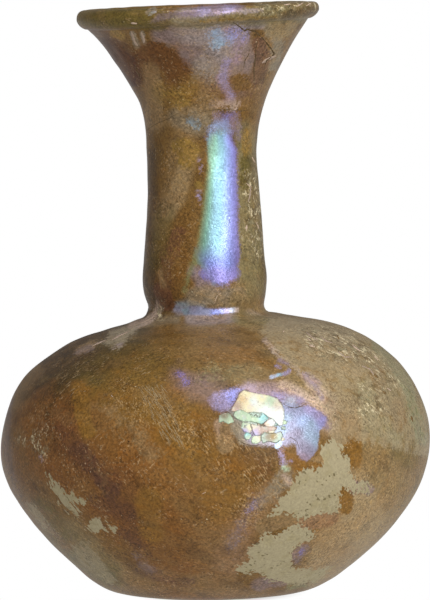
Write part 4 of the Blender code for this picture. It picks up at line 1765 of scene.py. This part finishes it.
@dataclass(frozen=True)
class FlakeSheet:
    """Turns flakes drawn in the photograph's frame into thin plates on the flask.

    A plate's points lie spacing apart, give or take scatter, and none closer to its
    edge than margin times that. Widths and steps are in pixels, lengths in metres.
    """

    view: PhotoView
    spacing: float = 1.1
    edge_step: float = 0.8
    scatter: float = 0.2
    margin: float = 0.45
    merged: float = 1e-4
    curl_width: float = 2.5
    curl_length: float = 0.0012
    rim_width: float = 0.9
    rim_length: float = 0.0022
    rim_breaks: Pair = (-0.6, 0.4)
    sunk_mm: float = 0.06
    deepest_mm: float = 10.0

    def cut(self, flake: Flake, seed: int) -> tuple[Array, Faces]:
        """Cut one flake's sheet: its points in pixels, and its triangles.

        The outline is walked in short steps, each moved a little at random, and the
        inside is filled by a grid of points and joined by Delaunay's rule.

        Args:
            flake: the flake.
            seed: picks the random steps.

        Returns:
            The points and the triangles, turned to face the camera.
        """
        random = np.random.default_rng(seed)
        corners = np.array(flake.outline, dtype=float)
        edge = []
        for start, end in zip(corners, np.roll(corners, -1, axis=0)):
            steps = max(1, round(float(np.linalg.norm(end - start)) / self.edge_step))
            edge.extend(start + (end - start) * np.linspace(0, 1, steps, endpoint=False)[:, None])
        edge = np.array(edge) + random.uniform(-flake.jag, flake.jag, (len(edge), 2))
        low, high = edge.min(axis=0), edge.max(axis=0)
        across, down = np.meshgrid(np.arange(low[0], high[0], self.spacing),
                                   np.arange(low[1], high[1], self.spacing))
        inside = np.column_stack((across.ravel(), down.ravel()))
        inside = inside + random.uniform(-self.scatter, self.scatter, inside.shape)
        inside = inside[depth_inside(inside, edge.tolist()) > self.margin * self.spacing]
        points = [Vector(point) for point in np.vstack((edge, inside))]
        ring = [(at, (at + 1) % len(edge)) for at in range(len(edge))]
        made = delaunay_2d_cdt(points, ring, [list(range(len(edge)))], 1, self.merged)
        points = np.array([tuple(point) for point in made[0]])
        return points, [face[::-1] for face in made[2]]

    def landing(self, tree: BVHTree, pixels: Array, label: str) -> tuple[Array, Array]:
        """Carry pixels along their lines of sight to the flask.

        Args:
            tree: the flask's faces.
            pixels: the pixels, one row each.
            label: what to call the flake if it can't be laid.

        Returns:
            The points that they land on, and the directions outward there.
        """
        landed = [tree.ray_cast(Vector(self.view.camera), Vector(ray))[:2]
                  for ray in self.view.rays(pixels)]
        if any(spot is None for spot, _ in landed):
            raise ValueError(f"{label} lies partly off the flask")
        spots = np.array([tuple(spot) for spot, _ in landed])
        if np.ptp(spots[:, 1]) > self.deepest_mm * MM:
            raise ValueError(f"{label} reaches across the mouth")
        return spots, np.array([tuple(normal) for _, normal in landed])

    def build(self, name: str, flakes: Sequence[Flake], flask: Object,
              material: Material) -> Object:
        """Lay all flakes on the flask as one object, and return it.

        The upper face stands off by half the flake's lift, and by all of it at the
        curled rim.

        Args:
            name: the object's name.
            flakes: the flakes, lowest first.
            flask: the flask's object.
            material: the finish.

        Returns:
            The flakes' object.
        """
        mesh = flask.data
        places = np.empty(len(mesh.vertices) * 3)
        mesh.vertices.foreach_get("co", places)
        tree = BVHTree.FromPolygons(places.reshape(-1, 3).tolist(),
                                    [tuple(face.vertices) for face in mesh.polygons])
        verts, faces, colours = [], [], []
        for number, flake in enumerate(flakes):
            pixels, triangles = self.cut(flake, Seed.FLAKES + number)
            spots, out = self.landing(tree, pixels, f"{name}: flake {number}")
            depth = np.abs(depth_inside(pixels, flake.outline))
            curl = 1.0 - smoothstep(0.0, self.curl_width, depth)
            ripple = waves(spots, self.curl_length, Seed.CURLS)
            ripple = np.clip(0.5 + 0.5 * ripple, 0.0, 1.0)
            lift = flake.lift * (0.5 + 0.5 * curl * ripple)
            top = spots + out * (lift * MM)[:, None]
            bottom = spots - out * self.sunk_mm * MM
            broken = smoothstep(*self.rim_breaks, waves(spots, self.rim_length, Seed.RIMS))
            shade = flake.rim * broken * (1.0 - smoothstep(0.0, self.rim_width, depth))
            colour = blended(pixels, flake.tones) * (1.0 - shade[:, None])
            base = len(verts)
            under = base + len(top)
            verts.extend(top.tolist() + bottom.tolist())
            colours.extend(colour.tolist() * 2)
            steps = {(a, b) for face in triangles for a, b in zip(face, face[1:] + face[:1])}
            for face in triangles:
                faces.append([base + at for at in face])
                faces.append([under + at for at in reversed(face)])
            for a, b in steps:
                if (b, a) not in steps:
                    faces.append([base + b, base + a, under + a, under + b])
        sheet = make_object(name, np.array(verts), faces, material)
        put_colours(sheet.data, "tint", np.column_stack((colours, np.ones(len(verts)))))
        return sheet


@dataclass(frozen=True)
class Chips:
    """Small chips of broken film, scattered under the large flakes.

    low and high are the corners of their area in pixels.
    """

    count: int = 16
    low: Pair = (243, 421)
    high: Pair = (286, 444)
    corners: int = 7
    reach: Pair = (1.6, 3.8)
    uneven: Pair = (0.7, 1.2)
    widened: float = 1.3
    lift: float = 0.04
    rim: float = 0.5
    tones: tuple[Tone, ...] = (
        Tone.MINT, Tone.CREAM, Tone.PALE_GREEN, Tone.SHELL, Tone.CYAN, Tone.STONE)

    def flakes(self) -> list[Flake]:
        """Return the chips: rings of corners at random distances from their middles."""
        random = np.random.default_rng(Seed.CHIPS)
        turn = np.linspace(0, 2 * math.pi, self.corners, endpoint=False)
        made = []
        for number in range(self.count):
            x, y = random.uniform(self.low, self.high)
            reach = random.uniform(*self.reach) * random.uniform(*self.uneven, self.corners)
            outline = np.column_stack((x + self.widened * reach * np.cos(turn),
                                       y + reach * np.sin(turn)))
            tone = self.tones[number % len(self.tones)]
            made.append(Flake(outline.tolist(), ((tone, x, y),), self.lift, self.rim))
        return made


@dataclass(frozen=True)
class Scratches:
    """Fine short streaks of wiped soil on the belly, in a slanting band.

    low and high are the band's corners in pixels, before it slants to the right by
    slant pixels for each one down. Headings are in degrees below level.
    """

    count: int = 130
    low: Pair = (136, 384)
    high: Pair = (160, 440)
    slant: float = 0.45
    heading: float = 58.0
    spread: float = 12.0
    length: Pair = (3.0, 14.0)
    width: Pair = (0.35, 0.75)
    lift: float = 0.02
    tone: Tone = Tone.DUNE

    def flakes(self) -> list[Flake]:
        """Return the streaks as thin ribbons, each from a random place in the band."""
        random = np.random.default_rng(Seed.SCRATCHES)
        made = []
        for _ in range(self.count):
            x, y = random.uniform(self.low, self.high)
            x += self.slant * (y - self.low[1])
            heading = math.radians(self.heading + random.uniform(-self.spread, self.spread))
            length = random.uniform(*self.length)
            end = (x + length * math.cos(heading), y + length * math.sin(heading))
            width = random.uniform(*self.width)
            made.append(ribbon(((x, y), end), width, self.tone, self.lift))
        return made


@dataclass(frozen=True)
class SoftBox:
    """A soft rectangular light that faces the flask's middle."""

    name: str
    place: Triple
    size: Pair
    watts: float
    tone: str
    aim: Triple = (0.0, 0.0, 0.045)

    def build(self) -> Object:
        """Build the light and return it."""
        data = bpy.data.lights.new(self.name, "AREA")
        data.shape = "RECTANGLE"
        data.size, data.size_y = self.size
        data.energy = self.watts
        data.color = linear(self.tone)[:3]
        light = bpy.data.objects.new(self.name, data)
        sight = Vector(self.aim) - Vector(self.place)
        turn = sight.to_track_quat("-Z", "Y").to_matrix().to_4x4()
        light.matrix_world = Matrix.Translation(self.place) @ turn
        bpy.context.scene.collection.objects.link(light)
        return light


@dataclass(frozen=True)
class Studio:
    """A pale floor, a light surround and soft lights, as the photograph shows."""

    floor_rings: tuple[float, ...] = (0.05, 0.1, 0.2, 0.4, 0.8, 2.0, 5.0, 9.5)
    floor_steps: int = 96
    floor_tone: str = "#f4f4f4"
    floor_glow: float = 0.68
    glow_from: Pair = (0.004, 0.016)
    surround: float = 0.25
    white: str = "#ffffff"
    lights: tuple[SoftBox, ...] = (
        SoftBox("key_light", (0.60, -0.98, 0.42), (0.40, 0.95), 11.5, "#ffffff"),
        SoftBox("top_light", (-0.05, -0.35, 1.20), (0.9, 0.5), 6.0, "#f4f4ff"),
        SoftBox("fill_light", (-1.20, -0.50, 0.50), (0.8, 1.0), 1.0, "#fff0dc"))

    def paper(self) -> Material:
        """Build the floor's finish: white paper that light floods right up to the flask's foot."""
        material = bpy.data.materials.new("white_paper_sweep")
        tree = empty_tree(material)
        where = add_node(tree, "TexCoord").outputs["Object"]
        away = add_node(tree, "VectorMath", {0: where}, operation="LENGTH")
        share = add_node(tree, "MapRange", {
            "Value": away.outputs["Value"], "From Min": self.glow_from[0],
            "From Max": self.glow_from[1]}, interpolation_type="SMOOTHSTEP")
        matt = add_node(tree, "BsdfDiffuse", {"Color": linear(self.floor_tone)})
        path = add_node(tree, "LightPath")
        strength = add_node(tree, "MapRange", {
            "Value": path.outputs["Is Camera Ray"], "To Min": self.floor_glow, "To Max": 1.0})
        glow = add_node(tree, "Emission", {"Color": linear(self.white), "Strength": strength})
        blend = add_node(tree, "MixShader", {0: share, 1: matt, 2: glow})
        add_node(tree, "OutputMaterial", {"Surface": blend})
        return material

    def floor(self) -> Object:
        """Build the floor: a wide disc of rings of faces about the flask."""
        rings = np.array(self.floor_rings)[:, None]
        rows, steps = len(rings), self.floor_steps
        angle = np.linspace(0, 2 * math.pi, steps, endpoint=False)
        verts = np.stack((rings * np.cos(angle), rings * np.sin(angle),
                          np.zeros((rows, steps))), axis=-1).reshape(-1, 3)
        verts = np.vstack((verts, (0.0, 0.0, 0.0)))
        faces = ring_faces(rows, steps) + fan_faces(np.arange(steps), rows * steps)
        return make_object("floor", verts, faces, self.paper())

    def world(self) -> None:
        """Build the surround: white where it is seen, dimmer in what it lights."""
        world = bpy.data.worlds.new("surround")
        tree = empty_tree(world)
        path = add_node(tree, "LightPath")
        strength = add_node(tree, "MapRange", {
            "Value": path.outputs["Is Camera Ray"], "To Min": self.surround, "To Max": 1.0})
        glow = add_node(tree, "Background", {"Color": linear(self.white), "Strength": strength})
        add_node(tree, "OutputWorld", {"Surface": glow})
        bpy.context.scene.world = world

    def build(self) -> Object:
        """Build floor, surround and lights, and return the floor."""
        floor = self.floor()
        self.world()
        for light in self.lights:
            light.build()
        bpy.context.scene.view_settings.view_transform = "Standard"
        return floor


def main() -> None:
    """Build the view, the flask and the studio, and report each piece."""
    logging.basicConfig(level=logging.INFO, format="%(name)s: %(message)s")
    view = PhotoView()
    view.make_camera()
    flask = Flask().build(Weathering(view), WeatheredGlass().build())
    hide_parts("flask")
    sheet = FlakeSheet(view)
    loose = [*Chips().flakes(), *FLAKES]
    flakes = sheet.build("lifted_flakes", loose, flask, LiftedFilm().build())
    dried = DriedCrust().build()
    dark = [*STAINS.flakes(), *CRACKS.flakes()]
    cracks = sheet.build("curled_edges", dark, flask, dried)
    pale = [*Scratches().flakes(), *SMEARS.flakes(), *LIME.flakes()]
    lime = sheet.build("lime_chips", pale, flask, dried)
    for piece in (flask, flakes, cracks, lime):
        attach(piece, "root")
        LOG.info("%s: %d faces", piece.name, len(piece.data.polygons))
    Studio().build()
    LOG.info("studio: floor, surround and lights")


if __name__ == "__main__":
    main()
